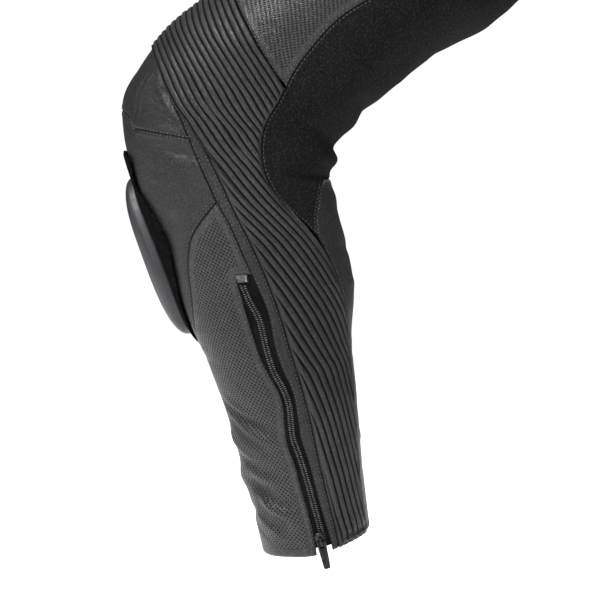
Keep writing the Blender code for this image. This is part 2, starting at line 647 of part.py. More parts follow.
def triangles(loop, inner, lines=()):
    """Triangles over a loop with points inside it; lines are edges that the triangles keep."""
    points = np.concatenate([loop, inner]) if len(inner) else loop
    count = len(loop)
    edges = [(i, (i + 1) % count) for i in range(count)]
    edges += [(a + count, b + count) for a, b in lines]
    coords = [Vector(p) for p in points]
    verts, _, faces, origin, _, _ = delaunay_2d_cdt(coords, edges, [], 0, 1e-7, True)
    number = np.array([o[0] if o else -1 for o in origin])
    if len(verts) != len(points) or number.min() < 0:
        raise ValueError("two edges of a piece cross")
    faces = [tuple(int(number[i]) for i in f) for f in faces]
    ahead = (np.roll(loop, -1, axis=0) - loop)
    turned = (loop[:, 0] * ahead[:, 1] - loop[:, 1] * ahead[:, 0]).sum() > 0
    rim = {(i, (i + 1) % count) if turned else ((i + 1) % count, i) for i in range(count)}
    owner = {(f[k], f[(k + 1) % 3]): f for f in faces for k in range(3)}
    todo = [owner[e] for e in rim if e in owner]
    found = set(todo)
    while todo:
        f = todo.pop()
        for k in range(3):
            a, b = f[k], f[(k + 1) % 3]
            over = owner.get((b, a))
            if (a, b) not in rim and over is not None and over not in found:
                found.add(over)
                todo.append(over)
    return [f for f in faces if f in found]


def wall(outer_edge, inner_edge, outer_points, inner_points, outer_faces, inner_faces):
    """Closes an outer and an inner sheet with a rim. Both number their shared edge first."""
    count = len(outer_edge)
    verts = np.concatenate([outer_edge, outer_points, inner_edge, inner_points])
    shift = count + len(outer_points)
    faces = [tuple(f) for f in outer_faces]
    faces += [tuple(i + shift for i in reversed(f)) for f in inner_faces]
    edges = {(f[i], f[(i + 1) % 3]) for f in outer_faces for i in range(3)}
    for i in range(count):
        j = (i + 1) % count
        if (i, j) in edges:
            faces.append((j, i, i + shift, j + shift))
        else:
            faces.append((i, j, j + shift, i + shift))
    return verts, faces


def facing_out(verts, faces):
    """The same faces, all turned over if they enclose a negative volume."""
    volume = 0.0
    for f in faces:
        for k in range(1, len(f) - 1):
            volume += np.dot(verts[f[0]], np.cross(verts[f[k]], verts[f[k + 1]]))
    return faces if volume > 0 else [tuple(reversed(f)) for f in faces]


def plain_panel(places, lift=0.0, thick=WALL, step=FACE_STEP):
    """A wall over a loop of places; lift moves it out from the garment's surface."""
    loop = flat(places)
    inner = lattice(loop, step)
    faces = triangles(loop, inner)
    edge, n_edge = inset_loop(places)
    centre = places_of(inner)
    p, n = sample(centre[:, 0], centre[:, 1]) if len(inner) else (np.zeros((0, 3)), np.zeros((0, 3)))
    return wall(edge + n_edge * lift, edge + n_edge * (lift - thick), p + n * lift, p + n * (lift - thick),
                faces, faces)


def rib_lines(loop):
    """Flat points on three lines to a rib, and the edges that join them along each line."""
    level = np.arange(RIB_LEVELS[0], RIB_LEVELS[1] + 1.0)
    numbers = np.arange(1, RIB_COUNT, 1 / 3)
    slants = np.arange(*RIB_SLANTS, RIB_LINE_STEP / (NOMINAL_GIRTH * MM))
    table = []
    for slant in slants:
        turn = (slant - level / 1000) * 100
        number = rib_number(level, turn)
        hit = np.interp(-numbers, -number, level, left=-1, right=-1)
        table.append(np.stack([hit, (slant - hit / 1000) * 100], 1))
    table = np.array(table)
    points = flat(table.reshape(-1, 2)).reshape(table.shape)
    keep = edge_distance(points.reshape(-1, 2), loop).reshape(table.shape[:2]) > RIB_EDGE_CLEAR
    keep &= table[..., 0] > 0
    index = np.full(keep.shape, -1)
    index[keep] = np.arange(keep.sum())
    lines = [(index[i, j], index[i + 1, j]) for i in range(len(slants) - 1) for j in range(len(numbers))
             if keep[i, j] and keep[i + 1, j]]
    number = np.broadcast_to(numbers, keep.shape)[keep]
    return points[keep], number, lines


def ribbed_panel(places):
    """A wall with a plain inside whose outer points rise into ribs."""
    loop = flat(places)
    ridge, number, lines = rib_lines(loop)
    outer_faces = triangles(loop, ridge, lines)
    plain = lattice(loop, FACE_STEP)
    inner_faces = triangles(loop, plain)
    edge, n_edge = inset_loop(places)
    centre = places_of(ridge)
    p, n = sample(centre[:, 0], centre[:, 1])
    sink = np.clip(edge_distance(ridge, loop) / RIB_TAPER, 0, 1)
    lift = RIB_HEIGHT * np.abs(np.sin(math.pi * number)) ** RIB_POWER * sink
    centre = places_of(plain)
    q, m = sample(centre[:, 0], centre[:, 1])
    return wall(edge, edge - n_edge * WALL, p + n * lift[:, None], q - m * WALL, outer_faces, inner_faces)


def zip_panel():
    """The zip's tape with the coil as a low ridge along its middle."""
    places = panel_loop(-50, ("hem_zip", "zip_front", "zip_top", "strip_front_hem"))
    loop = flat(places)
    rows = np.arange(ZIP_LEVELS[0], ZIP_LEVELS[1], ZIP_ROW_STEP)
    left = np.interp(rows, SEAM_PLACES["zip_front"][:, 0], SEAM_PLACES["zip_front"][:, 1])
    right = np.interp(rows, SEAM_PLACES["strip_front_hem"][:, 0], SEAM_PLACES["strip_front_hem"][:, 1])
    first, last, height = ZIP_COIL
    shares = np.array([first - ZIP_SHOULDER, first, last, last + ZIP_SHOULDER])
    heights = np.array([0.0, height, height, 0.0])
    turn = left[:, None] * (1 - shares) + right[:, None] * shares
    inner = flat(np.stack([np.broadcast_to(rows[:, None], turn.shape).ravel(), turn.ravel()], 1))
    index = np.arange(turn.size).reshape(turn.shape)
    lines = [(index[i, j], index[i + 1, j]) for i in range(len(rows) - 1) for j in range(4)]
    faces = triangles(loop, inner, lines)
    edge, n_edge = inset_loop(places)
    centre = places_of(inner)
    p, n = sample(centre[:, 0], centre[:, 1])
    lift = np.broadcast_to(heights, turn.shape).ravel()[:, None]
    return wall(edge, edge - n_edge * WALL, p + n * lift, p - n * WALL, faces, faces)


def centre_front(level, turn):
    """Like sample, but turns below 0 are on the left half."""
    p, n = sample(level, np.abs(turn))
    flip = np.where(np.asarray(turn)[..., None] < 0, np.array([-1, 1, 1]), 1)
    return p * flip, n * flip


def laid_strip(levels, turns, step, lift=LAID_ON_LIFT, thick=LAID_ON_THICK):
    """A strip laid on the centre front: a grid of levels and turns given a thickness."""
    rows = np.linspace(*levels, max(2, round((levels[1] - levels[0]) / step)) + 1)
    width = (turns[1] - turns[0]) / 100 * WAIST_GIRTH
    columns = np.linspace(*turns, max(2, round(width / step)) + 1)
    level, turn = np.meshgrid(rows, columns, indexing="ij")
    p, n = centre_front(level.ravel(), turn.ravel())
    index = np.arange(level.size).reshape(level.shape)
    a, b, c, d = index[:-1, :-1], index[1:, :-1], index[1:, 1:], index[:-1, 1:]
    quads = np.stack([a, b, c, d], -1).reshape(-1, 4).tolist()
    rim = np.concatenate([index[0, :-1], index[:-1, -1], index[-1, :0:-1], index[:0:-1, 0]]).tolist()
    verts = np.concatenate([p + n * lift, p + n * (lift + thick)])
    count = level.size
    faces = [tuple(reversed(q)) for q in quads] + [tuple(i + count for i in q) for q in quads]
    for i, k in enumerate(rim):
        after = rim[(i + 1) % len(rim)]
        faces.append((after, k, k + count, after + count))
    return verts, faces


def puck():
    """The knee slider: a slab with a superellipse outline, domed towards its middle."""
    angle = np.linspace(0, 2 * math.pi, PUCK_SPOKES, endpoint=False)
    c, s = np.cos(angle), np.sin(angle)
    size = (np.abs(c) ** PUCK_POWER + np.abs(s) ** PUCK_POWER) ** (-1 / PUCK_POWER)
    base = PATCH_LIFT + PATCH_THICK + PUCK_CLEAR
    verts, rings = [], []
    for share, height in PUCK_RINGS:
        spokes = PUCK_SPOKES if share else 1
        along, across = PUCK_HALF[0] * size * c * share, PUCK_HALF[1] * size * s * share
        x = along * math.cos(PUCK_SLANT) - across * math.sin(PUCK_SLANT)
        y = along * math.sin(PUCK_SLANT) + across * math.cos(PUCK_SLANT)
        level = PUCK_CENTRE[0] + x[:spokes]
        turn = PUCK_CENTRE[1] + y[:spokes] / NOMINAL_GIRTH * 100
        p, n = sample(level, turn)
        rings.append((p + n * base, p + n * (base + PUCK_THICK * height)))
    start = []
    for layer in (0, 1):
        for ring in rings:
            start.append(len(verts))
            verts.extend(ring[layer])
    count = len(rings)
    faces = []
    for layer in (0, 1):
        first, second = start[layer * count], start[layer * count + 1]
        for k in range(PUCK_SPOKES):
            after = (k + 1) % PUCK_SPOKES
            fan = [(first, second + k, second + after)]
            for r in range(1, count - 1):
                a, b = start[layer * count + r], start[layer * count + r + 1]
                fan.append((a + k, b + k, b + after, a + after))
            faces += fan if layer else [tuple(reversed(f)) for f in fan]
    low, high = start[count - 1], start[2 * count - 1]
    for k in range(PUCK_SPOKES):
        after = (k + 1) % PUCK_SPOKES
        faces.append((low + k, low + after, high + after, high + k))
    return np.array(verts), faces


# ------------------------------------------------------------------ objects

def clear_scene():
    for obj in list(bpy.data.objects):
        bpy.data.objects.remove(obj, do_unlink=True)


def finish(look, name):
    """A Principled material of its own for one piece."""
    colour, roughness, metallic = FINISHES[look]
    material = bpy.data.materials.new(f"{look} {name}")
    material.use_nodes = True
    shader = material.node_tree.nodes["Principled BSDF"]
    shader.inputs["Base Color"].default_value = (*colour, 1)
    shader.inputs["Roughness"].default_value = roughness
    shader.inputs["Metallic"].default_value = metallic
    return material


def new_object(name, mesh, look, collection):
    obj = bpy.data.objects.new(name, mesh)
    mesh.materials.append(finish(look, name))
    collection.objects.link(obj)
    return obj


def add_mesh(name, verts, faces, look, collection, smooth=40):
    """One closed mesh object from points and faces."""
    faces = facing_out(verts, faces)
    mesh = bpy.data.meshes.new(name)
    mesh.from_pydata([tuple(v) for v in verts], [], faces)
    mesh.shade_smooth()
    mesh.set_sharp_from_angle(angle=math.radians(smooth))
    mesh.validate()
    return new_object(name, mesh, look, collection)


def add_pair(name, verts, faces, look, collection):
    """The right leg's piece and its mirror image on the left."""
    verts = np.asarray(verts)
    add_mesh(f"right_{name}", verts, faces, look, collection)
    add_mesh(f"left_{name}", verts * np.array([-1, 1, 1]), [tuple(reversed(f)) for f in faces], look,
             collection)


def box_mesh(boxes, holes=(), bevel=BEVEL_FINE):
    """Boxes joined into one body and cut by others: each is a centre and a size."""
    work = []

    def box(centre, size):
        mesh = bpy.data.meshes.new("block")
        bm = bmesh.new()
        bmesh.ops.create_cube(bm, size=1.0, matrix=Matrix.Translation(centre) @ Matrix.Diagonal((*size, 1)))
        bm.to_mesh(mesh)
        bm.free()
        obj = bpy.data.objects.new("block", mesh)
        bpy.context.scene.collection.objects.link(obj)
        work.append(obj)
        return obj

    body = box(*boxes[0])
    for operation, items in (("UNION", boxes[1:]), ("DIFFERENCE", holes)):
        for item in items:
            modifier = body.modifiers.new("join", "BOOLEAN")
            modifier.operation = operation
            modifier.object = box(*item)
    if bevel:
        modifier = body.modifiers.new("soft edges", "BEVEL")
        modifier.width = bevel
        modifier.segments = 1
        modifier.limit_method = "ANGLE"
    bpy.context.view_layer.update()
    result = bpy.data.meshes.new_from_object(body.evaluated_get(bpy.context.evaluated_depsgraph_get()))
    for obj in work:
        bpy.data.objects.remove(obj, do_unlink=True)
    return result


def placed(mesh, matrix, mirrored):
    """A copy of a mesh moved by a matrix, and mirrored to the left leg if asked."""
    mesh = mesh.copy()
    flip = Matrix.Diagonal((-1, 1, 1, 1)) if mirrored else Matrix.Identity(4)
    mesh.transform(flip @ matrix)
    if mirrored:
        mesh.flip_normals()
    return mesh


def frame_matrix(origin, across, along, out):
    matrix = Matrix((across, along, out)).transposed().to_4x4()
    matrix.translation = Vector(origin)
    return matrix


def slider_frame():
    """Origin and directions of the zip slider: across the zip, up along it, and out."""
    origin, out = sample(SLIDER_LEVEL, SLIDER_TURN)
    above, _ = sample(SLIDER_LEVEL + 10, SLIDER_TURN + 0.25)
    along = above - origin
    along = unit(along - out * (along @ out))
    return origin, np.cross(along, out), along, out


def pull_axis():
    """The line that the pull tab turns about: a point on it and its direction."""
    origin, across, _, out = slider_frame()
    height = SLIDER_LIFT + SLIDER_SIZE[2] + CROWN_RISE / 2 - CROWN_BAR / 4
    return origin + out * height, across


def add_zip_hardware(collection):
    """Slider with its crown, and the pull tab that hangs from it and turns about a cross axis."""
    origin, across, along, out = slider_frame()
    width, length, thick = SLIDER_SIZE
    top = SLIDER_LIFT + thick
    leg = CROWN_RISE + 0.2 * MM
    slider = box_mesh([
        ((0, 0, SLIDER_LIFT + thick / 2), (width, length, thick)),
        ((0, CROWN_SPAN / 2 - CROWN_BAR / 2, top + leg / 2 - 0.2 * MM), (CROWN_BAR * 1.5, CROWN_BAR, leg)),
        ((0, -CROWN_SPAN / 2 + CROWN_BAR / 2, top + leg / 2 - 0.2 * MM), (CROWN_BAR * 1.5, CROWN_BAR, leg)),
        ((0, 0, top + CROWN_RISE + CROWN_BAR / 2 - 0.1 * MM), (CROWN_BAR * 1.5, CROWN_SPAN, CROWN_BAR)),
    ])
    slider_matrix = frame_matrix(origin, across, along, out)

    pivot, axis = pull_axis()
    down = -UPWARD - axis * (-UPWARD @ axis)
    down = unit(down)
    pull_width, pull_length, pull_thick = PULL_SIZE
    eye_width, eye_length = PULL_EYE
    middle = pull_length / 2 - PULL_BAR / 2
    pull = box_mesh([((0, -middle, 0), (pull_width, pull_length, pull_thick))],
                    [((0, -eye_length / 2 - PULL_BAR / 2, 0), (eye_width, eye_length, pull_thick * 2))])
    pull_matrix = frame_matrix((0, 0, 0), axis, -down, np.cross(axis, -down))
    for side, sign in (("right", 1), ("left", -1)):
        mirrored = sign < 0
        new_object(f"{side}_zip_slider", placed(slider, slider_matrix, mirrored), "dark zinc", collection)
        obj = new_object(f"{side}_zip_pull", placed(pull, pull_matrix, mirrored), "dark zinc", collection)
        obj.location = Vector(pivot * np.array([sign, 1, 1]))


def add_snap(collection):
    """A round snap cap on the waist tab."""
    level = sum(TAB_LEVELS) / 2
    p, n = sample(level, SNAP_TURN)
    p, n = Vector(p), Vector(n)
    mesh = bpy.data.meshes.new("waist_snap")
    bm = bmesh.new()
    centre = p + n * (LAID_ON_LIFT + LAID_ON_THICK + SEAM_GAP * 2 + SNAP_THICK / 2)
    matrix = Matrix.Translation(centre) @ n.to_track_quat("Z", "Y").to_matrix().to_4x4()
    bmesh.ops.create_cone(bm, cap_ends=True, segments=SNAP_SIDES, radius1=SNAP_RADIUS,
                          radius2=SNAP_RADIUS * SNAP_TAPER, depth=SNAP_THICK, matrix=matrix)
    bm.to_mesh(mesh)
    bm.free()
    obj = new_object("waist_snap", mesh, "nickel", collection)
    modifier = obj.modifiers.new("soft edge", "BEVEL")
    modifier.width = BEVEL_FINE
    modifier.segments = 1
    modifier.limit_method = "ANGLE"


def main():
    clear_scene()
    collection = bpy.data.collections.new("leather motorcycle trousers")
    bpy.context.scene.collection.children.link(collection)
    for name, (start_turn, look, names) in PANELS.items():
        add_pair(name, *plain_panel(panel_loop(start_turn, names)), look, collection)
    ribs = panel_loop(-50, ("hem_ribs", "rib_back_low", "rib_back_high", "rib_top_edge", "side_ribs",
                            "strip_back"))
    add_pair("accordion", *ribbed_panel(ribs), "ribbed leather", collection)
    add_pair("zip", *zip_panel(), "zip tape", collection)
    patch = smooth_route([*PATCH_OUTLINE, PATCH_OUTLINE[0]], PATCH_EDGE_STEP)[:-1]
    add_pair("slider_patch", *plain_panel(patch, PATCH_LIFT + PATCH_THICK, PATCH_THICK, PATCH_FACE_STEP),
             "hook and loop", collection)
    add_pair("knee_slider", *puck(), "slider plastic", collection)
    tab = smooth_route([*END_TAB, END_TAB[0]], END_TAB_EDGE_STEP)[:-1]
    end_tab = plain_panel(tab, END_TAB_LIFT + END_TAB_THICK, END_TAB_THICK, END_TAB_FACE_STEP)
    add_pair("zip_end_tab", *end_tab, "leather", collection)
    add_mesh("fly_placket", *laid_strip(FLY_LEVELS, (-FLY_HALF_TURN, FLY_HALF_TURN), FLY_STEP), "leather",
             collection)
    add_mesh("waist_tab", *laid_strip(TAB_LEVELS, TAB_TURNS, TAB_STEP), "leather", collection)
    add_zip_hardware(collection)
    add_snap(collection)


main()
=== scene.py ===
# %% [markdown]
# # Leather motorcycle trousers
# A pair of riding trousers keeps the shape of bent legs even with nobody in it: the leather is stiff, and
# ribbed inserts over the knees let it bend. This lesson dresses a plain CAD model of the trousers: the CAD
# gives the size and the hollow form, and every visible piece is made again here as a fine shell with its
# creases, ribs, seams and stitching.

# %% Start from the CAD frame
import math
from functools import partial

import bpy
import numpy as np
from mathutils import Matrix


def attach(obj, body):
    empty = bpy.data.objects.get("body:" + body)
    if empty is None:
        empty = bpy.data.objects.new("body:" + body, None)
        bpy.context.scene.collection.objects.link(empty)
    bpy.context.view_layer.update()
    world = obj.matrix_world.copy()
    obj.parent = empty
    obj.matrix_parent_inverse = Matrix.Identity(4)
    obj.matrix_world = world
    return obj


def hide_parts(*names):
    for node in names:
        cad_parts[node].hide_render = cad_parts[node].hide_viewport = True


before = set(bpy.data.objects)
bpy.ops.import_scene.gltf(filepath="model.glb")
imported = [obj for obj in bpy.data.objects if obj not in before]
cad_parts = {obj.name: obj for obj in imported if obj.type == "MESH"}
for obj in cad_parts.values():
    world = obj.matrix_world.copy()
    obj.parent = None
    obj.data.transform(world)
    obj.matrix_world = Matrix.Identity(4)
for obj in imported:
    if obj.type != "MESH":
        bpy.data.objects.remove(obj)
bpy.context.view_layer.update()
MM = 0.001

# %% [markdown]
# ## Camera
# The picture is a close view of one lower leg from its inner side, taken almost level. A long lens keeps the
# leg's proportions. The camera comes first, so that every later step can be looked at. The standard view
# transform keeps white paper white.

# %% Camera
VIEW_AZIMUTH = math.radians(55)
VIEW_ELEVATION = math.radians(5)
VIEW_DISTANCE = 1.2
VIEW_TARGET = np.array([-0.2391, -0.2001, -0.5847])
LENS_MM = 80

eye_direction = np.array([math.sin(VIEW_AZIMUTH) * math.cos(VIEW_ELEVATION),
                          -math.cos(VIEW_AZIMUTH) * math.cos(VIEW_ELEVATION), math.sin(VIEW_ELEVATION)])
bpy.context.scene.view_settings.view_transform = "Standard"
camera_data = bpy.data.cameras.new("camera")
camera_data.lens = LENS_MM
camera_data.sensor_width = 36
camera = bpy.data.objects.new("camera", camera_data)
camera.location = VIEW_TARGET + eye_direction * VIEW_DISTANCE
camera.rotation_euler = (math.radians(90) - VIEW_ELEVATION, 0, VIEW_AZIMUTH)
bpy.context.scene.collection.objects.link(camera)
bpy.context.scene.camera = camera
print("camera at", [round(c, 3) for c in camera.location])

# %% [markdown]
# ## The body form
# Cut pieces are sewn to lie on one smooth form, so the form is worked out first. Rings are laid along the
# leg: egg-shaped ones through a front and a rear point from the hem to the thigh, and above that the outline
# of a general figure of hips and thighs. A smooth curve through the rings gives the surface.
#
# A place on it has two numbers. Its level is the distance along the leg in mm, 0 at the hem and about 1012 at
# the waist. Its turn is the share of the way round in per cent: 0 inner leg line, 25 front, 42 side seam, 75
# or -25 back, and above the crotch 0 centre front and 100 centre back.

# %% Sizes of the form
HIP_JOINT = np.array([-0.092, 0.010, -0.150])
LEG_SPREAD = math.radians(35)
TURN_STEPS = 360
LEVEL_STEP = 2.5
LEG_SECTIONS = (
    # front mm: back, up   rear mm: back, up   half width mm: inner, outer
    (-290, -664,  -193, -641,  50, 50),     # hem
    (-304, -606,  -200, -580,  53, 53),
    (-320, -546,  -205, -520,  57, 57),
    (-339, -492,  -210, -467,  61, 61),
    (-359, -446,  -208, -426,  63, 64),
    (-382, -385,  -216, -379,  65, 66),
    (-400, -336,  -227, -341,  67, 68),
    (-413, -286,  -229, -313,  69, 70),     # knee
    (-413, -255,  -224, -296,  71, 72),
    (-396, -225,  -210, -277,  74, 75),
    (-374, -197,  -186, -256,  77, 78),
    (-327, -160,  -144, -222,  82, 82),     # thigh
)
THIGH_SECTIONS = 5
THIGH_RADIUS, CONE_OVERSHOOT = (0.0846, 0.098), 0.2     # at the knee's end and the hip; the cone runs on past it
PELVIS_CENTRE, PELVIS_RADII = np.array([0.0, 0.010, -0.070]), np.array([0.176, 0.138, 0.150])
SEAT_CENTRE, SEAT_RADIUS = np.array([-0.078, 0.052, -0.150]), 0.094
FIGURE_BLEND = 0.045
CROTCH_REACH, CROTCH_RISE = 0.105, math.radians(35)
CENTRE_SHARE = 0.12
HIP_SECTIONS = (
    # height mm   side rises deg   front drops deg   middle moved out, share
    (-197, 29, 0, 0.34),
    (-160, 22.5, 2, 0.20),
    (-118, 15, 5, 0.08),
    (-78, 7.5, 8, 0.02),
    (-40, 1, 10, 0.0),                      # lower edge of the waistband
    (0, 0, 10, 0.0),                        # waist
)
OUTWARD = np.array([-math.cos(LEG_SPREAD), math.sin(LEG_SPREAD), 0.0])
REARWARD = np.array([math.sin(LEG_SPREAD), math.cos(LEG_SPREAD), 0.0])
UPWARD = np.array([0.0, 0.0, 1.0])
TURNS = np.linspace(0, 1, TURN_STEPS + 1)
print(len(LEG_SECTIONS), "leg sections,", len(HIP_SECTIONS), "hip sections")

# %% [markdown]
# The general figure is a signed distance: an egg for the pelvis, a ball for each half of the seat and a round
# cone for each thigh, joined with a rounded smallest-of. Rays from inside it find its skin.

# %% The general figure of hips and thighs


def unit(v):
    """Each vector divided by its own length."""
    return v / np.linalg.norm(v, axis=-1, keepdims=True)


def leg_point(back_mm, up_mm):
    """Hip joint + rearward direction x back + up x up: a place in the leg's middle plane."""
    return HIP_JOINT + REARWARD * (back_mm * MM) + UPWARD * (up_mm * MM)


def smooth_min(a, b, width):
    """The smaller of a and b, less width x h(1 - h) where they are nearly equal (h runs 0 to 1 across)."""
    h = np.clip(0.5 + 0.5 * (b - a) / width, 0, 1)
    return b * (1 - h) + a * h - width * h * (1 - h)


top_row = LEG_SECTIONS[-1]
THIGH_END = leg_point((top_row[0] + top_row[2]) / 2, (top_row[1] + top_row[3]) / 2)


def figure_distance(p):
    """Smooth smallest of: the pelvis egg, and on each side a seat ball joined to the thigh's round cone."""
    q = (p - PELVIS_CENTRE) / PELVIS_RADII
    size = np.linalg.norm(q, axis=-1)
    total = size * (size - 1) / np.maximum(np.linalg.norm(q / PELVIS_RADII, axis=-1), 1e-6)
    low, high = THIGH_RADIUS
    for side in (1, -1):
        flip = np.array([side, 1, 1])
        seat = np.linalg.norm(p - SEAT_CENTRE * flip, axis=-1) - SEAT_RADIUS
        start = HIP_JOINT * flip
        axis = (THIGH_END + (THIGH_END - HIP_JOINT) * CONE_OVERSHOOT) * flip - start
        share = np.clip(((p - start) @ axis) / (axis @ axis), 0, 1)
        radius = high + (low - CONE_OVERSHOOT * (high - low) - high) * share
        thigh = np.linalg.norm(p - start - share[..., None] * axis, axis=-1) - radius
        total = smooth_min(total, smooth_min(thigh, seat, FIGURE_BLEND * 0.6), FIGURE_BLEND)
    return total


def cast(origin, direction, reach=0.35, steps=140, halvings=22):
    """Marches along every ray at once until the distance turns positive, then halves that step."""
    stops = np.linspace(0.0, reach, steps + 1)
    outside = figure_distance(origin + direction[:, None, :] * stops[None, :, None]) > 0
    first = np.where(outside.any(axis=1), outside.argmax(axis=1), steps)
    low, high = stops[first - 1], stops[first]
    for _ in range(halvings):
        middle = (low + high) / 2
        out = figure_distance(origin + direction * middle[:, None]) > 0
        high, low = np.where(out, middle, high), np.where(out, low, middle)
    return origin + direction * high[:, None]


# %% [markdown]
# A section through the leg is four quarters of an egg between its front, rear, inner and outer places. Above the
# leg, a fan of rays is cast out from the middle of each section until it meets the figure.

# %% Rings from the hem to the waist


def leg_section(row):
    """Middle + half depth x sin(angle) + outward x half width x cos(angle)."""
    front, rear = leg_point(row[0], row[1]), leg_point(row[2], row[3])
    angle = math.pi * (1 - 2 * TURNS)
    width = np.where(np.cos(angle) > 0, row[5], row[4]) * MM
    return ((front + rear) / 2 + (front - rear) / 2 * np.sin(angle)[:, None]
            + OUTWARD * (width * np.cos(angle))[:, None])


def figure_section(origin, to_side, to_front, first, last):
    """Where a flat fan of rays, turning from angle first over 0 to angle last, meets the figure."""
    angle = np.where(TURNS < 0.5, first * (1 - 2 * TURNS), last * (2 * TURNS - 1))
    return cast(origin, to_side * np.cos(angle)[:, None] + to_front * np.sin(angle)[:, None])


def crotch_point():
    """The figure's lowest place in the middle plane, read off a fine column at each depth."""
    y, z = np.meshgrid(np.linspace(-0.06, 0.10, 33), np.linspace(-0.15, -0.32, 400), indexing="ij")
    low = np.where(figure_distance(np.stack([np.zeros_like(y), y, z], -1)) < 0, z, 1).min(axis=1)
    return np.array([0.0, y[low.argmin(), 0], low.min()])


def all_rings():
    """The leg's egg rings, then fans whose plane turns from across the thigh to level at the waist."""
    rings = [leg_section(row) for row in LEG_SECTIONS]
    crotch = crotch_point()
    crotch_side = np.array([-math.cos(CROTCH_RISE), 0, math.sin(CROTCH_RISE)])
    middle = crotch + crotch_side * CROTCH_REACH
    front = unit(leg_point(top_row[0], top_row[1]) - THIGH_END)
    for i in range(1, THIGH_SECTIONS + 2):
        share = i / (THIGH_SECTIONS + 1)
        to_side = unit(OUTWARD * (1 - share) + crotch_side * share)
        to_front = front * (1 - share) + np.array([0.0, -1.0, 0.0]) * share
        to_front = unit(to_front - to_side * (to_front @ to_side))
        rings.append(figure_section(THIGH_END * (1 - share) + middle * share, to_side, to_front,
                                    math.pi, -math.pi))
    rings[-1][0] = rings[-1][-1] = crotch
    for height, rise, drop, out in HIP_SECTIONS:
        rise, drop = math.radians(rise), math.radians(drop)
        to_side = np.array([-math.cos(rise), 0, math.sin(rise)])
        to_front = np.array([0.0, -math.cos(drop), -math.sin(drop)])
        front, rear = cast(np.array([0, 0, height * MM]), np.array([to_front, -to_front]))
        centre = (front + rear) / 2
        origin = centre + (cast(centre, to_side[None])[0] - centre) * out
        basis = np.linalg.pinv(np.stack([to_front, to_side], 1))
        ends = [math.atan2(*(basis @ (p - origin))) for p in (front, rear)]
        ring = figure_section(origin, to_side, to_front, *ends)
        ring[0], ring[-1] = front, rear
        rings.append(ring)
    return np.array(rings)


rings = all_rings()
fork = len(LEG_SECTIONS) + THIGH_SECTIONS
ring_step = np.linalg.norm(np.diff(rings, axis=0), axis=2).mean(axis=1) / MM
ring_level = np.concatenate([[0.0], np.cumsum(ring_step)])
CROTCH_LEVEL, BAND_LEVEL, WAIST_LEVEL = ring_level[fork], ring_level[-2], ring_level[-1]
print("levels, mm: crotch %.1f, waistband %.1f, waist %.1f" % (CROTCH_LEVEL, BAND_LEVEL, WAIST_LEVEL))

# %% [markdown]
# ## The large folds
# Leather folds where a joint bends it. Each large fold is a soft ridge or trough with its own place, length,
# slant, width and height, so the set looks uneven, as real folds do. The same table shapes the CAD walls.

# %% Table of large folds
FOLDS = (
    # level  turn   length mm  slant deg  width mm  height mm
    (370,   -24.0,   105,        0,        11,        5.5),     # roll of cloth behind the knee
    (391,   -19.0,    85,       12,         7,       -4.0),
    (346,   -17.0,    80,       -4,         7,       -4.0),
    (320,   -27.0,    70,        6,        12,        2.5),
    (413,   -28.0,    80,       10,        12,        3.0),
    (438,   -22.0,    60,       14,         9,       -2.5),
    (370,    11.0,    60,        2,         5,        1.8),     # knee seam stands proud
    (392,    12.0,    55,      -24,         8,       -2.0),
    (355,     8.0,    50,        4,         6,       -2.0),
    (124,    12.0,    80,       14,         8,       -2.5),     # shin, above the zip's middle
    (106,    17.0,    60,       10,        10,        2.0),
    (42,      8.5,    50,       20,         8,        3.2),     # ridge over the ankle
    (30,     12.0,    45,       18,         6,       -2.2),
    (64,     15.0,    60,       12,         8,       -2.2),
    (128,    60.0,    90,       -8,        12,        2.5),     # outer calf
    (68,     66.0,    70,        6,        10,       -2.2),
    (358,    56.0,    90,        8,        10,       -3.0),     # outer side of the knee
    (380,    54.0,    80,       -6,        11,        3.0),
    (568,    82.0,   120,       18,        16,        3.0),     # back of the thigh
    (628,    78.0,   120,       14,        15,       -3.0),
    (764,    16.0,   100,      -24,        15,       -3.5),     # groin
    (734,    18.0,   110,      -22,        16,        3.0),
    (800,    88.0,    90,       20,        14,       -3.5),     # under the seat
    (770,    84.0,   100,       16,        14,        3.0),
)
NOMINAL_GIRTH = 500.0
HEM_FADE = 20.0
HEM_DROP, HEM_DROP_TURN, HEM_DROP_REACH = 3.0 * MM, 0.07, 22.0      # the hem hangs lower beside the zip


def fold_height(level, turn):
    """Sum of height x exp(-(across / width)^2 - (2 along / length)^4), turned by each fold's slant."""
    total = np.zeros(np.broadcast(level, turn).shape)
    for f_level, f_turn, length, slant, width, height in FOLDS:
        x = ((turn - f_turn / 100 + 0.5) % 1.0 - 0.5) * NOMINAL_GIRTH
        y = level - f_level
        c, s = math.cos(math.radians(slant)), math.sin(math.radians(slant))
        along, across = x * c + y * s, y * c - x * s
        total += height * MM * np.exp(-(across / width) ** 2 - (2 * along / length) ** 4)
    return total


print(len(FOLDS), "large folds on each leg")

# %% [markdown]
# ## The surface as a function
# A cubic curve through the rings gives points on a fine grid. Directions outward come from the cross product
# of the grid's two slopes, and the lengths along its rows and columns give flat coordinates in metres, which
# a pattern such as rows of holes can follow.

# %% Fine grid of the form


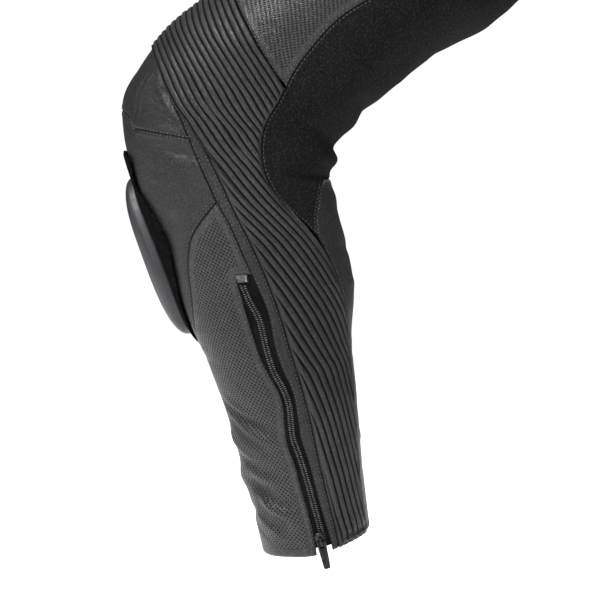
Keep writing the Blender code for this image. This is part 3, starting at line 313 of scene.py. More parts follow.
def smooth_rows(x, known, values):
    """Cubic Hermite through the rows of values, whose slopes are those of the neighbours on both sides."""
    shape = (-1,) + (1,) * (values.ndim - 1)
    gap = np.diff(known)
    slope = np.diff(values, axis=0) / gap.reshape(shape)
    left, right = gap[:-1].reshape(shape), gap[1:].reshape(shape)
    inner = (slope[:-1] * right + slope[1:] * left) / (left + right)
    tangent = np.concatenate([slope[:1], inner, slope[-1:]])
    i = np.clip(np.searchsorted(known, x, side="right") - 1, 0, len(known) - 2)
    h = gap[i].reshape(shape)
    u = ((x - known[i]) / gap[i]).reshape(shape)
    return ((2 * u**3 - 3 * u**2 + 1) * values[i] + (u**3 - 2 * u**2 + u) * h * tangent[i]
            + (3 * u**2 - 2 * u**3) * values[i + 1] + (u**3 - u**2) * h * tangent[i + 1])


levels = np.arange(0, WAIST_LEVEL, LEVEL_STEP)
levels = np.unique(np.concatenate([levels, [CROTCH_LEVEL, BAND_LEVEL, WAIST_LEVEL]]))
closed = levels <= CROTCH_LEVEL + 1e-6
whole = smooth_rows(levels, ring_level, rings)
parted = np.concatenate([smooth_rows(levels[closed], ring_level[:fork + 1], rings[:fork + 1]),
                         smooth_rows(levels[~closed], ring_level[fork:], rings[fork:])])
near_centre = np.clip(np.minimum(TURNS, 1 - TURNS) / CENTRE_SHARE, 0, 1)[:, None]
near_centre = near_centre * near_centre * (3 - 2 * near_centre)
form = parted * (1 - near_centre) + whole * near_centre


def outward(p):
    """Unit cross product of the slope along the leg and the slope round it; none across the centre line."""
    along, around = np.gradient(p, levels, axis=0), np.gradient(p, axis=1)
    around[closed, 0] = around[closed, -1] = (p[closed, 1] - p[closed, -2]) / 2
    n = unit(np.cross(along, around))
    n[~closed, 0, 0] = n[~closed, -1, 0] = 0
    row = np.searchsorted(levels, CROTCH_LEVEL)
    n[row, 0, 0] = n[row, -1, 0] = 0
    n[row, 0] = n[row, -1] = n[row, 0] + n[row, -1]
    return unit(n)


fade = np.clip(levels[:, None] / HEM_FADE, 0, 1)
form = form + outward(form) * (fold_height(levels[:, None], TURNS[None, :]) * fade)[..., None]
beside_zip = np.exp(-(np.minimum(TURNS, 1 - TURNS) / HEM_DROP_TURN) ** 2)
form[..., 2] -= HEM_DROP * beside_zip * np.clip(1 - levels[:, None] / HEM_DROP_REACH, 0, 1) ** 2
form_out = outward(form)
around_leg = np.cumsum(np.linalg.norm(np.diff(form, axis=1, prepend=form[:, :1]), axis=2), axis=1)
along_leg = np.cumsum(np.linalg.norm(np.diff(form, axis=0, prepend=form[:1]), axis=2), axis=0)
form_flat = np.stack([around_leg, along_leg], -1)
print("grid of the form:", form.shape[:2], "girth at the hem %.0f mm" % (around_leg[0, -1] / MM))


def look_up(table, level, turn):
    """The table read at a level and turn, as a mix of the four grid values round the place."""
    column = np.where(turn < 0, turn + 100, turn) / 100 * TURN_STEPS
    j = np.clip(column.astype(int), 0, TURN_STEPS - 1)
    i = np.clip(np.searchsorted(levels, level, side="right") - 1, 0, len(levels) - 2)
    v = (column - j)[..., None]
    u = ((level - levels[i]) / (levels[i + 1] - levels[i]))[..., None]
    return ((table[i, j] * (1 - u) + table[i + 1, j] * u) * (1 - v)
            + (table[i, j + 1] * (1 - u) + table[i + 1, j + 1] * u) * v)


def flat_place(level, turn):
    """Metres round the leg and along it, counted from the places' own middle, so that a pattern isn't skewed."""
    home = [np.full_like(turn, np.median(values), dtype=float) for values in (level, turn)]
    flat = look_up(form_flat, level, turn)
    girth = np.interp(level, levels, around_leg[:, -1])
    flat[..., 0] -= np.where(turn < 0, girth, 0) + look_up(form_flat, level, home[1])[..., 0]
    flat[..., 0] += np.where(home[1] < 0, girth, 0)
    flat[..., 1] -= look_up(form_flat, home[0], turn)[..., 1]
    return flat


# %% [markdown]
# ## Creases
# Between the large folds lie finer creases: puckers above the knee seam, a crease under it, folds across the
# shin and the ridge above the ankle. Each is a soft line between two places, highest in its middle and
# fading at its ends. Those on the outer and back sides are placed in the same way, because every side of
# the trousers creases alike. A few hundred small ones, thrown with a fixed seed, keep the rest from being
# too even.

# %% Table of creases
CREASES = (
    # from: level, turn   to: level, turn   width mm   height mm (below 0 is a trough)
    (409, 13.9, 376, 6.0, 2.8, 1.5),            # fold that runs beside the strip, and the dip between them
    (403, 11.6, 379, 6.3, 2.0, -1.3),
    (393, 15.0, 384, 7.6, 1.4, -0.50),          # fine puckers that end at the fold
    (396, 14.6, 388, 8.6, 1.3, -0.42),
    (400, 14.2, 392, 9.6, 1.2, -0.34),
    (390, 13.4, 381, 7.4, 1.3, 0.40),
    (386, 12.8, 378, 6.8, 1.3, -0.36),
    (382, 11.0, 375, 7.0, 1.3, 0.20),
    (356, 13.0, 353, 4.6, 1.6, -0.80),          # just below the knee seam
    (351, 9.0, 354, 4.9, 1.4, -0.50),
    (350, 13.4, 347, 7.4, 1.5, -0.45),
    (360, 12.0, 358, 6.0, 1.5, 0.2),
    (334, 14.0, 330, 7.0, 4.0, 0.5),
    (300, 17.0, 296, 9.0, 5.0, -0.5),
    (146, 21.0, 108, 4.8, 5.2, -2.4),           # long crease above the zip's middle
    (152, 20.0, 118, 6.4, 4.4, 1.8),
    (138, 22.0, 100, 5.4, 4.2, 1.4),
    (128, 20.0, 94, 6.6, 4.6, -1.8),
    (118, 24.0, 88, 12.0, 4.4, 1.5),
    (96, 20.0, 74, 6.0, 4.6, -1.5),
    (78, 16.0, 66, 36.0, 10.0, 3.2),            # the shin bulges over the fold above the ankle
    (42, 18.0, 36, 36.0, 6.0, -2.0),
    (84, 18.0, 64, 5.0, 4.4, 1.5),
    (74, 20.0, 56, 9.0, 5.2, -2.0),
    (62, 16.0, 34, 4.6, 5.2, 2.2),              # bright ridge above the ankle
    (70, 18.0, 44, 6.2, 5.0, -1.6),
    (50, 17.0, 24, 5.6, 4.6, -1.9),
    (40, 19.0, 18, 9.0, 3.6, 1.4),
    (30, 22.0, 14, 13.0, 3.0, -0.8),
    (186, 27.0, 176, 14.0, 5.0, -0.6),
    (210, 24.0, 204, 12.0, 5.0, 0.5),
    (118, -3.6, 106, -0.9, 2.2, 0.6),           # the strip buckles a little beside the zip
    (96, -3.6, 88, -0.7, 2.0, -0.6),
    (160, -2.4, 150, -0.4, 2.0, 0.5),
    (140, 34.0, 152, 26.0, 5.0, -1.0),          # shin, outer side
    (104, 40.0, 92, 28.0, 5.0, 1.2),
    (66, 38.0, 54, 26.0, 4.6, -1.3),
    (34, 36.0, 26, 27.0, 4.0, 1.0),
    (318, 58.0, 322, 46.0, 5.0, -1.3),          # outer calf and knee
    (300, 60.0, 306, 48.0, 6.0, 1.0),
    (344, 60.0, 340, 46.0, 4.0, 1.2),
    (230, 70.0, 214, 52.0, 6.0, -1.0),
    (190, 64.0, 180, 48.0, 6.0, 1.0),
    (146, 72.0, 130, 52.0, 5.0, -1.2),
    (112, 74.0, 100, 58.0, 5.0, 1.1),
    (88, 70.0, 76, 52.0, 4.6, -1.2),
    (52, 74.0, 40, 56.0, 4.0, 1.2),
    (34, 72.0, 24, 58.0, 3.6, -1.0),
    (120, -24.0, 108, -36.0, 5.0, -1.0),        # back of the calf
    (86, -22.0, 74, -36.0, 4.4, 1.1),
    (56, -24.0, 44, -37.0, 4.2, -1.1),
    (236, -18.0, 222, -34.0, 6.0, 0.9),
    (272, -16.0, 262, -34.0, 6.0, -1.0),
    (404, 62.0, 396, 46.0, 4.6, -1.4),          # outer side above the knee
    (422, 60.0, 418, 46.0, 5.0, 1.2),
    (446, 64.0, 440, 46.0, 5.0, -1.0),
    (480, 76.0, 470, 58.0, 7.0, 1.2),
    (520, 80.0, 506, 60.0, 7.0, -1.3),
    (590, 84.0, 570, 62.0, 9.0, 1.4),
    (650, 86.0, 630, 64.0, 9.0, -1.4),
    (700, 88.0, 680, 60.0, 9.0, 1.6),
    (738, 94.0, 716, 64.0, 8.0, -2.0),          # under the seat
    (782, 96.0, 752, 72.0, 7.0, -2.2),
    (800, 97.0, 776, 78.0, 7.0, 1.8),
    (826, 97.0, 800, 82.0, 7.0, -1.6),
    (560, 30.0, 548, 12.0, 8.0, -0.9),          # front of the thigh
    (610, 34.0, 590, 12.0, 9.0, 1.0),
    (668, 36.0, 640, 12.0, 9.0, -1.2),
    (706, 34.0, 676, 8.0, 8.0, 1.2),
    (752, 32.0, 716, 8.0, 7.0, -1.8),           # groin
    (772, 30.0, 738, 7.0, 6.0, 1.5),
    (796, 28.0, 758, 8.0, 6.0, -1.8),
    (820, 24.0, 786, 7.0, 6.0, 1.3),
    (844, 20.0, 812, 4.0, 5.0, -1.2),
    (880, 34.0, 868, 16.0, 7.0, -0.9),
    (930, 38.0, 922, 20.0, 8.0, 0.7),
    (890, 84.0, 880, 62.0, 9.0, -0.9),
    (940, 80.0, 930, 58.0, 9.0, 0.8),
)
SMALL_CREASES = 260
SMALL_LENGTH, SMALL_WIDTH, SMALL_HEIGHT = (14, 46), (1.8, 4.2), (0.12, 0.42)

dice = np.random.default_rng(11)
small_level = dice.uniform(0, WAIST_LEVEL, SMALL_CREASES)
small_turn = dice.uniform(-50, 50, SMALL_CREASES)
small_slant = np.radians(dice.normal(8, 16, SMALL_CREASES))
small_length = dice.uniform(*SMALL_LENGTH, SMALL_CREASES)
small_width = dice.uniform(*SMALL_WIDTH, SMALL_CREASES)
small_height = dice.uniform(*SMALL_HEIGHT, SMALL_CREASES) * dice.choice([-1, 1], SMALL_CREASES)
per_turn = NOMINAL_GIRTH / 100
small_step = np.stack([np.sin(small_slant) * small_length / 2,
                       np.cos(small_slant) * small_length / 2 / per_turn], 1)
small_middle = np.stack([small_level, small_turn], 1)
ALL_CREASES = np.concatenate([
    np.array(CREASES, float),
    np.concatenate([small_middle - small_step, small_middle + small_step, small_width[:, None],
                    small_height[:, None]], 1)])


def crease_height(level, turn):
    """Sum of height x exp(-(distance / width)^2) x (1 - |2 share - 1|^3) over the lines, in metres."""
    total = np.zeros(level.shape)
    for l0, t0, l1, t1, width, height in ALL_CREASES:
        dx, dy = (t1 - t0) * per_turn, l1 - l0
        x = ((turn - t0 + 50) % 100 - 50) * per_turn
        y = level - l0
        share = np.clip((x * dx + y * dy) / (dx * dx + dy * dy), 0, 1)
        distance = np.hypot(x - share * dx, y - share * dy)
        total += height * np.exp(-(distance / width) ** 2) * (1 - np.abs(2 * share - 1) ** 3)
    return total * MM * np.clip(level / HEM_FADE, 0, 1)


def surface(level, turn):
    """The form's points and outward directions at levels in mm and turns in per cent."""
    level, turn = np.asarray(level, float), np.asarray(turn, float)
    return look_up(form, level, turn), unit(look_up(form_out, level, turn))


print(len(ALL_CREASES), "creases on each leg")

# %% [markdown]
# ## Seams
# Trousers are cut from many pieces, and their seams are what the eye follows. Each seam is a smooth route over
# the form, from corner to corner through a few places. Two neighbouring pieces share the same route, so they
# always meet.

# %% Table of corners and seams
RIB_FIELD = np.array((
    # level  number at the inner line   ribs per per cent of turn
    (0,         31.0,          0.50),
    (30,        30.5,          0.53),
    (62,        30.2,          0.57),
    (112,       29.0,          0.60),
    (158,       27.2,          0.57),
    (194,       25.1,          0.60),
    (238,       22.9,          0.69),
    (278,       20.5,          0.69),
    (314,       17.7,          0.69),
    (348,       15.4,          0.74),
    (380,       12.2,          0.75),
    (412,        7.2,          0.74),
    (434,        3.3,          0.74),
    (454,       -0.4,          0.74),
    (474,       -3.8,          0.74),
    (528,      -13.6,          0.74),
))
RIB_TURN_LIMIT, RIB_TURN_SOFT, RIB_SEARCH_TOP = 18.6, 4.0, 560.0
RIB_TOP_TURNS = np.array([-2.2, 0.6, 3.9, 6.7, 10, 13.5, 17, 20, 25, 30, 36])


def rib_number(level, turn):
    """Number at the inner line + ribs per per cent x turn, with turn softly capped round the thigh's front."""
    start = np.interp(level, RIB_FIELD[:, 0], RIB_FIELD[:, 1])
    rate = np.interp(level, RIB_FIELD[:, 0], RIB_FIELD[:, 2])
    over = (turn - RIB_TURN_LIMIT) / RIB_TURN_SOFT
    return start + rate * (RIB_TURN_LIMIT - RIB_TURN_SOFT * np.log1p(np.exp(-over)))


def rib_level(number, turn):
    """The level where a rib number is met at a turn, by halving a span from the hem to the thigh."""
    low, high = 0 * (turn + number), RIB_SEARCH_TOP + 0 * (turn + number)
    for _ in range(34):
        middle = (low + high) / 2
        below = rib_number(middle, turn) > number
        low, high = np.where(below, middle, low), np.where(below, high, middle)
    return (low + high) / 2


CORNERS = {
    "hem_side": (0, 42), "hem_zip": (0, 0.0), "hem_strip_front": (0, -4.7), "hem_strip_back": (0, -6.6),
    "hem_rib_back": (0, -18.5), "hem_calf": (0, -40),
    "zip_top_front": (252, 4.0), "zip_top_back": (252, 1.2),
    "shin_inner": (316, 2.9), "shin_side": (186, 42),
    "knee_inner": (366, 5.0), "knee_front": (368, 15.6), "knee_side": (358, 42), "knee_top": (421, 15.6),
    "strip_low": (426, 42), "strip_high": (438, 42), "rib_side": (float(rib_level(1.0, 42.0)), 42),
    "rib_top": (429, -4.8), "cloth_calf": (284, -12.6), "calf_top": (345, -20.0), "calf_outer": (346, -40),
    "gusset_front": (804, 5), "gusset_middle": (804, 0), "gusset_back": (804, -9),
    "crotch": (CROTCH_LEVEL, 0), "waist_front": (BAND_LEVEL, 0), "waist_side": (BAND_LEVEL, 42),
    "waist_back": (BAND_LEVEL, 100), "band_front": (WAIST_LEVEL, 0), "band_side": (WAIST_LEVEL, 42),
    "band_back": (WAIST_LEVEL, 100),
}
SEAMS = {
    # name: the corner where it starts, the corner where it ends, the places in between
    "side_shin": ("hem_side", "shin_side"),
    "side_shin_top": ("shin_side", "knee_side"),
    "side_knee": ("knee_side", "strip_low"),
    "side_strip": ("strip_low", "strip_high"),
    "side_ribs": ("strip_high", "rib_side"),
    "side_thigh": ("rib_side", "waist_side"),
    "hem_shin": ("hem_side", "hem_zip"),
    "hem_zip": ("hem_zip", "hem_strip_front"),
    "hem_strip": ("hem_strip_front", "hem_strip_back"),
    "hem_ribs": ("hem_strip_back", "hem_rib_back"),
    "hem_calf_back": ("hem_rib_back", "hem_calf"),
    "hem_calf_outer": ("hem_calf", "hem_side"),
    "zip_front": ("hem_zip", "zip_top_front", (20, 0.0), (40, 0.5), (60, 1.1), (84, 1.7), (101, 2.5), (116, 2.3),
                  (134, 1.6), (149, 1.8), (162, 2.8), (176, 3.6), (200, 4.1), (228, 4.2)),
    "zip_top": ("zip_top_front", "zip_top_back"),
    "strip_front_hem": ("hem_strip_front", "zip_top_back", (27, -3.6), (46, -2.9), (66, -2.4), (84, -1.8),
                        (102, -1.0), (120, -1.1), (147, -1.2), (166, -0.2), (185, 0.3), (220, 0.3), (238, 0.8)),
    "strip_front_shin": ("zip_top_back", "shin_inner", (272, 1.7), (298, 2.2)),
    "strip_front_low": ("shin_inner", "knee_inner", (342, 3.8)),
    "strip_front_knee": ("knee_inner", "knee_top", (380, 6.4), (398, 9.8), (411, 12.8)),
    "strip_front_top": ("knee_top", "strip_low", (432, 19.5), (438, 25), (438, 32)),
    "strip_back": ("hem_strip_back", "strip_high", (32, -5.8), (78, -4.6), (118, -3.9), (158, -3.2),
                   (188, -2.4), (236, -1.2), (266, -0.5), (298, 0.4), (328, 1.2), (348, 2.1),
                   (366, 3.4), (384, 5.6), (394, 7.4), (410, 11.0), (426, 15.0), (438, 19.0),
                   (447, 25), (448, 32)),
    "rib_back_low": ("hem_rib_back", "cloth_calf", (62, -18.2), (108, -19.0), (158, -20.0), (182, -19.4),
                     (208, -17.4), (232, -15.8), (256, -14.5)),
    "rib_back_high": ("cloth_calf", "rib_top", (294, -11.2), (308, -9.0), (324, -7.0), (344, -6.0),
                      (368, -5.7), (398, -5.6), (414, -5.4)),
    "rib_top_edge": ("rib_top", "rib_side", *zip(rib_level(1.0, RIB_TOP_TURNS), RIB_TOP_TURNS)),
    "thigh_cloth": ("rib_top", "gusset_front", (446, -3.9), (478, -2.9), (508, -2.0), (588, 0.5), (708, 3.5)),
    "gusset_front": ("gusset_front", "gusset_middle"),
    "gusset_back": ("gusset_middle", "gusset_back"),
    "inseam": ("gusset_middle", "crotch"),
    "calf_cloth": ("cloth_calf", "calf_top", (298, -13.4), (320, -15.8), (336, -17.6)),
    "calf_fold": ("calf_top", "calf_outer"),
    "calf_side": ("hem_calf", "calf_outer"),
    "knee_outer": ("calf_outer", "knee_side"),
    "seat_cloth": ("calf_outer", "gusset_back", (448, -38), (568, -33), (708, -20)),
    "knee_seam": ("knee_inner", "knee_front"),
    "knee_seam_front": ("knee_front", "knee_side", (375, 17.6), (379, 21), (374, 31)),
    "knee_centre": ("knee_front", "knee_top"),
    "shin_seam": ("shin_inner", "shin_side", (304, 5.6), (284, 10.0), (262, 13.0), (232, 15.9), (204, 21.5),
                  (192, 30)),
    "waist_front": ("waist_front", "waist_side"),
    "waist_back": ("waist_side", "waist_back"),
    "band_front": ("band_front", "band_side"),
    "band_back": ("band_side", "band_back"),
    "band_end_front": ("waist_front", "band_front"),
    "band_end_back": ("waist_back", "band_back"),
    "rise_front": ("crotch", "waist_front"),
    "rise_back": ("crotch", "waist_back"),
}
ROUTE_STEP = 2.0 * MM


def lengths(path):
    """Metres along a route at each of its places."""
    p, _ = surface(path[:, 0], path[:, 1])
    return np.concatenate([[0], np.cumsum(np.linalg.norm(np.diff(p, axis=0), axis=1))])


def smooth_route(places, step=ROUTE_STEP):
    """A cubic curve through the places, read off at even steps of its length."""
    places = np.array(places, float)
    along = lengths(places)
    return smooth_rows(np.linspace(0, along[-1], max(2, round(along[-1] / step)) + 1), along, places)


def seam_route(name):
    """The seam's corners and places as a route; a seam through the back counts its turns past the inner line."""
    first, last, *between = SEAMS[name]
    start, end = np.array(CORNERS[first], float), np.array(CORNERS[last], float)
    if abs(start[1] - end[1]) > 70:
        end[1] -= 100
    if name == "rise_back":
        start[1] = end[1] = 100
    if not between:
        return smooth_route(start + (end - start) * np.linspace(0, 1, 9)[:, None])
    return smooth_route([start, *between, end])


seams = {name: seam_route(name) for name in SEAMS}
print("seams of one leg: %.1f m" % sum(lengths(route)[-1] for route in seams.values()))

# %% [markdown]
# ## A cut piece as a patch between four sides
# Each cut piece has four sides, each made of one or more seams. A Coons patch fills them: it adds the blend of
# bottom and top to the blend of left and right and takes off the blend of the four corners. Rows lie close
# together near the edges, where the leather rolls into its seam, and wider apart in the middle.

# %% Patches
EDGE_ROWS = np.array([0, 0.15, 0.4, 0.8, 1.2, 1.5, 1.9, 2.6, 3.5, 4.5, 5.1, 5.8])   # mm from an edge
NARROW = 14.0                                                               # mm, rows close up below this
SAMPLES = (41, 61)                  # columns and rows at which a patch is measured
EDGE_BANDS = 12                     # mm taken up by the rows at both edges
SNAP_POWER = 12                     # how fast a snapped row goes back to its place across the patch


def chain(start_turn, names):
    """Seams joined end to end in order, each turned round where needed, as (name, run) pairs."""
    runs = []
    for name in names:
        run = seams[name].copy()
        if start_turn is not None:
            run[:, 1] = np.round((run[:, 1] - start_turn + 1e-6) % 100 + start_turn - 1e-6, 7)
        runs.append(run)
    if len(runs) > 1:
        ends = [np.abs(runs[0][i] - runs[1][j]).max() for i in (0, -1) for j in (0, -1)]
        if min(ends[:2]) < min(ends[2:]):
            runs[0] = runs[0][::-1]
    for k in range(1, len(runs)):
        if np.abs(runs[k - 1][-1] - runs[k][0]).max() > np.abs(runs[k - 1][-1] - runs[k][-1]).max():
            runs[k] = runs[k][::-1]
    return list(zip(names, runs))


def turn_round(side):
    """The same chain from its other end."""
    return [(name, run[::-1]) for name, run in reversed(side)]


def whole_path(side):
    """The runs as one route, without the doubled places where they meet."""
    return np.concatenate([side[0][1]] + [run[1:] for _, run in side[1:]])


def four_sides(start_turn, names):
    """Bottom, top, left and right as chains; left and right run upwards, bottom and top from left to right."""
    bottom, top, left, right = (chain(start_turn, side) for side in names)
    left, right = (turn_round(s) if s[0][1][0, 0] > s[-1][1][-1, 0] else s for s in (left, right))
    start, end = left[0][1][0], left[-1][1][-1]
    if np.abs(bottom[0][1][0] - start).max() > np.abs(bottom[-1][1][-1] - start).max():
        bottom = turn_round(bottom)
    if np.abs(top[0][1][0] - end).max() > np.abs(top[-1][1][-1] - end).max():
        top = turn_round(top)
    return bottom, top, left, right


def read(path, share):
    """Places at shares 0 to 1 of a route's length."""
    along = lengths(path)
    return np.stack([np.interp(share, along / along[-1], path[:, k]) for k in (0, 1)], -1)


def coons(sides, u, v):
    """(1-v) bottom + v top + (1-u) left + u right, less the blend of the corners."""
    bottom, top, left, right = sides
    u1, v1 = u[..., None], v[..., None]
    return ((1 - v1) * read(bottom, u) + v1 * read(top, u) + (1 - u1) * read(left, v) + u1 * read(right, v)
            - (1 - u1) * (1 - v1) * left[0] - u1 * (1 - v1) * right[0]
            - (1 - u1) * v1 * left[-1] - u1 * v1 * right[-1])


def spread(width, count):
    """Shares across a width in mm: the edge rows from both ends, and count even steps between them."""
    width = np.asarray(width)[..., None]
    near = EDGE_ROWS * np.minimum(1, width / NARROW)
    inner = near[..., -1:] + (width - 2 * near[..., -1:]) * np.arange(1, count) / count
    return np.concatenate([near, inner, width - near[..., ::-1]], -1) / width


def patch_grid(sides, step, snap=None):
    """Places on a grid over four sides, with rows at the same distances from the edges everywhere; snap is a
    side, 2 or 3, and shares of its length that get a row of their own, whose numbers are returned too."""
    u, v = np.meshgrid(np.linspace(0, 1, SAMPLES[0]), np.linspace(0, 1, SAMPLES[1]))
    places = coons(sides, u, v)
    p, _ = surface(places[..., 0], places[..., 1])
    widths = np.linalg.norm(np.diff(p, axis=1), axis=2).sum(axis=1) / MM
    heights = np.linalg.norm(np.diff(p, axis=0), axis=2).sum(axis=0) / MM
    across, up = (max(2, round((size.max() - EDGE_BANDS) / step)) for size in (widths, heights))
    v0, u0 = spread(heights.mean(), up), spread(widths.mean(), across)
    u = spread(np.interp(v0, v[:, 0], widths), across)
    v = spread(np.interp(u0, np.linspace(0, 1, SAMPLES[0]), heights), up).T
    snapped = []
    if snap is not None:
        column, near = (0, 1 - u) if snap[0] == 2 else (-1, u)
        for share in snap[1]:
            row = np.abs(v[:, column] - share).argmin()
            v[row] += (share - v[row, column]) * near[row] ** SNAP_POWER
            snapped.append(row)
    return coons(sides, u, v), snapped


def line_distance(points, starts, ends, chunk=1500):
    """Distance in mm from each point to the nearest of the straight pieces from starts to ends."""
    a, ab = starts, ends - starts
    size = np.maximum((ab * ab).sum(1), 1e-12)
    result = []
    for part in np.array_split(points.reshape(-1, 3), max(1, points.size // 3 // chunk)):
        ap = part[:, None] - a
        share = np.clip((ap * ab).sum(2) / size, 0, 1)
        result.append(np.sqrt(((ap - share[..., None] * ab) ** 2).sum(2).min(axis=1)))
    return np.concatenate(result).reshape(points.shape[:-1]) / MM


def edge_distance(points, loop):
    """Distance in mm from each point to a closed line of points."""
    return line_distance(points, loop, np.roll(loop, -1, axis=0))


print("rows at an edge, mm:", EDGE_ROWS)

# %% [markdown]
# ## Materials
# Every finish starts from what the real one is and how it was made. One function turns a hex colour into linear
# light, and one adds a node with its settings and links. The others only open and close a material.

# %% Helpers for materials
SMOOTH = {"interpolation_type": "SMOOTHSTEP"}       # a soft step from one span of values to another
COLOUR = {"data_type": "RGBA", "output": 2}         # a mix of the colours at inputs 6 and 7


def linear(hex_colour):
    """sRGB hex to linear: c / 12.92 below 0.04045, else ((c + 0.055) / 1.055) to the power 2.4."""
    c = np.array([int(hex_colour[i:i + 2], 16) / 255 for i in (1, 3, 5)])
    return (*np.where(c <= 0.04045, c / 12.92, ((c + 0.055) / 1.055) ** 2.4).tolist(), 1.0)


def fill(node, sockets):
    """Each socket gets its value: another node's output is linked to it, a number or hex colour is set on it."""
    for socket, value in sockets.items():
        if isinstance(value, bpy.types.NodeSocket):
            node.id_data.links.new(value, node.inputs[socket])
        else:
            node.inputs[socket].default_value = linear(value) if isinstance(value, str) else value


def add(tree, kind, *values, output=0, **settings):
    """Adds a node and returns one of its outputs; the values fill its inputs in order, or as one dict says."""
    node = tree.nodes.new("ShaderNode" + kind)
    for name, value in settings.items():
        setattr(node, name, value)
    fill(node, values[0] if values and isinstance(values[0], dict) else dict(enumerate(values)))
    return node.outputs[output]


def new_material(name):
    """An empty Principled material, and the function that adds nodes to it."""
    material = bpy.data.materials.new(name)
    material.use_nodes = True
    return material, partial(add, material.node_tree)


def finish(material, **sockets):
    """The material, with the shader's sockets filled."""
    fill(material.node_tree.nodes["Principled BSDF"], {name.replace("_", " "): v for name, v in sockets.items()})
    return material


print("conversion of #808080:", round(linear("#808080")[0], 3))

# %% [markdown]
# ### Leather
# Drum-dyed cowhide, 1.3 mm thick, finished with a pigmented satin coat. The coat gives a soft, broad gloss; the
# grain is a net of fine pebbles, about 0.8 mm across, drawn at 1.8 mm so that it shows. The dye stands darker in
# the grain, and painted shade darkens the grooves at the seams and the lines of stitches. Two variants share the
# recipe: one punched with rows of 1.2 mm holes, drawn at 1.7 mm and painted black for the shade inside them, and
# one sewn into ribs whose valleys are painted dark as shade. Attributes of the mesh steer them: the distance to the
# edge, the painted shade along a row of stitches, the height on a rib, and the UV map, which is in metres of flat
# leather.

# %% Leather materials
GRAIN_SIZE = 1.8 * MM
HOLE_CELL = 4.1 * MM                # holes stand on the corners and centres of squares this wide
HOLE_RADIUS = 0.85 * MM
HOLE_FREE_EDGE = 7.0                # mm without holes along the seams
LEATHER_NOISE = (
    # waves per metre, detail, roughness
    (9, 5, 0.6),                    # clouds in the dye
    (22, 4, 0.55),                  # wear of the coat
    (430, 3, 0.6),                  # fine grain
    (130, 3, 0.55),                 # wrinkles
    (34, 2, 0.55),                  # soft buckles
)


def noises(node, place, table):
    """One noise for each row of a table, read at a place."""
    return [node("TexNoise", {"Vector": place, "Scale": scale, "Detail": detail, "Roughness": roughness})
            for scale, detail, roughness in table]


def hole_distance(node):
    """Distance, in cells, to the nearest corner or centre of the square cells of the flat leather."""
    cells = node("VectorMath", node("UVMap"), (1 / HOLE_CELL,) * 3, operation="MULTIPLY")
    nearest = []
    for shift in (0.0, 0.5):
        part = node("VectorMath", cells, (shift, shift, 0), operation="ADD")
        part = node("VectorMath", part, operation="FRACTION")
        part = node("VectorMath", part, (0.5, 0.5, 0), operation="SUBTRACT")
        nearest.append(node("VectorMath", part, operation="LENGTH", output="Value"))
    return node("Math", *nearest, operation="MINIMUM")


def leather(name, dark, light, rough, gloss=0.3, holes=False, ribs=False):
    """Pebbled satin leather: colour between dark and light, darker in the grain, with painted shade in the seam
    grooves, along the rows of stitches, in the holes and in the rib valleys; rough where worn.
    """
    material, node = new_material(name)
    place = node("TexCoord", output="Object")
    edge, needle_line = (node("Attribute", attribute_name=f, output="Fac") for f in ("edge", "needle_line"))
    cloud, wear, fine, wrinkle, buckle = noises(node, place, LEATHER_NOISE)
    pebble = node("TexVoronoi", {"Vector": place, "Scale": 1 / GRAIN_SIZE, "Randomness": 1.0},
                  feature="DISTANCE_TO_EDGE", output="Distance")
    pebble = node("MapRange", pebble, 0.0, 0.30, **SMOOTH)
    grain = node("Math", pebble, node("MapRange", fine, 0.36, 0.64, **SMOOTH), operation="MULTIPLY")
    roughness = node("MapRange", wear, 0.3, 0.7, rough - 0.05, rough + 0.09, **SMOOTH)
    # the dye's own darker grain, then painted shade in the seam grooves near the edge and painted shade along the
    # rows of stitches
    grain_and_shade = [(node("Math", grain, -0.6, 0.6, operation="MULTIPLY_ADD"), "#060606"),
              (node("MapRange", edge, 0.2, 1.3, 1.0, 0.0, **SMOOTH), "#030303"),
              (node("Math", needle_line, 0.85, operation="MULTIPLY"), "#040404")]
    bumps = [(pebble, 0.20, 0.8), (fine, 0.22, 0.7), (wrinkle, 0.45, 0.6), (buckle, 2.6, 0.6)]     # mm, strength
    if holes:
        away, radius = hole_distance(node), HOLE_RADIUS / HOLE_CELL
        inside = node("MapRange", edge, HOLE_FREE_EDGE - 0.3, HOLE_FREE_EDGE + 0.3, **SMOOTH)
        hole = node("Math", node("MapRange", away, radius * 0.85, radius * 1.1, 1.0, 0.0, **SMOOTH), inside,
                    operation="MULTIPLY")
        # painted shade: the holes are coloured black for the shade inside them
        grain_and_shade.append((hole, "#000000"))
        roughness = node("Math", roughness, hole, operation="MAXIMUM")
        bumps.append((node("MapRange", away, 0.08, 0.24, **SMOOTH), 0.7, 0.6))
    if ribs:
        # painted shade: the valleys between the ribs are coloured black for the shade in them, and made rougher
        valley = node("Attribute", attribute_name="rib", output="Fac")
        valley = node("MapRange", valley, 0.66, 0.86, 1.0, 0.0, **SMOOTH)
        grain_and_shade.append((valley, "#000000"))
        roughness = node("Math", valley, 0.4, roughness, operation="MULTIPLY_ADD")
    colour = node("Mix", {0: node("MapRange", cloud, 0.3, 0.72, **SMOOTH), 6: dark, 7: light}, **COLOUR)
    for share, dark_tone in grain_and_shade:
        colour = node("Mix", {0: share, 6: colour, 7: dark_tone}, **COLOUR)
    below = {}
    for height, depth, strength in bumps:
        bump = node("Bump", {"Height": height, "Distance": depth * MM, "Strength": strength, **below})
        below = {"Normal": bump}
    return finish(material, IOR=1.5, Specular_IOR_Level=gloss, Base_Color=colour, Roughness=roughness, Normal=bump)


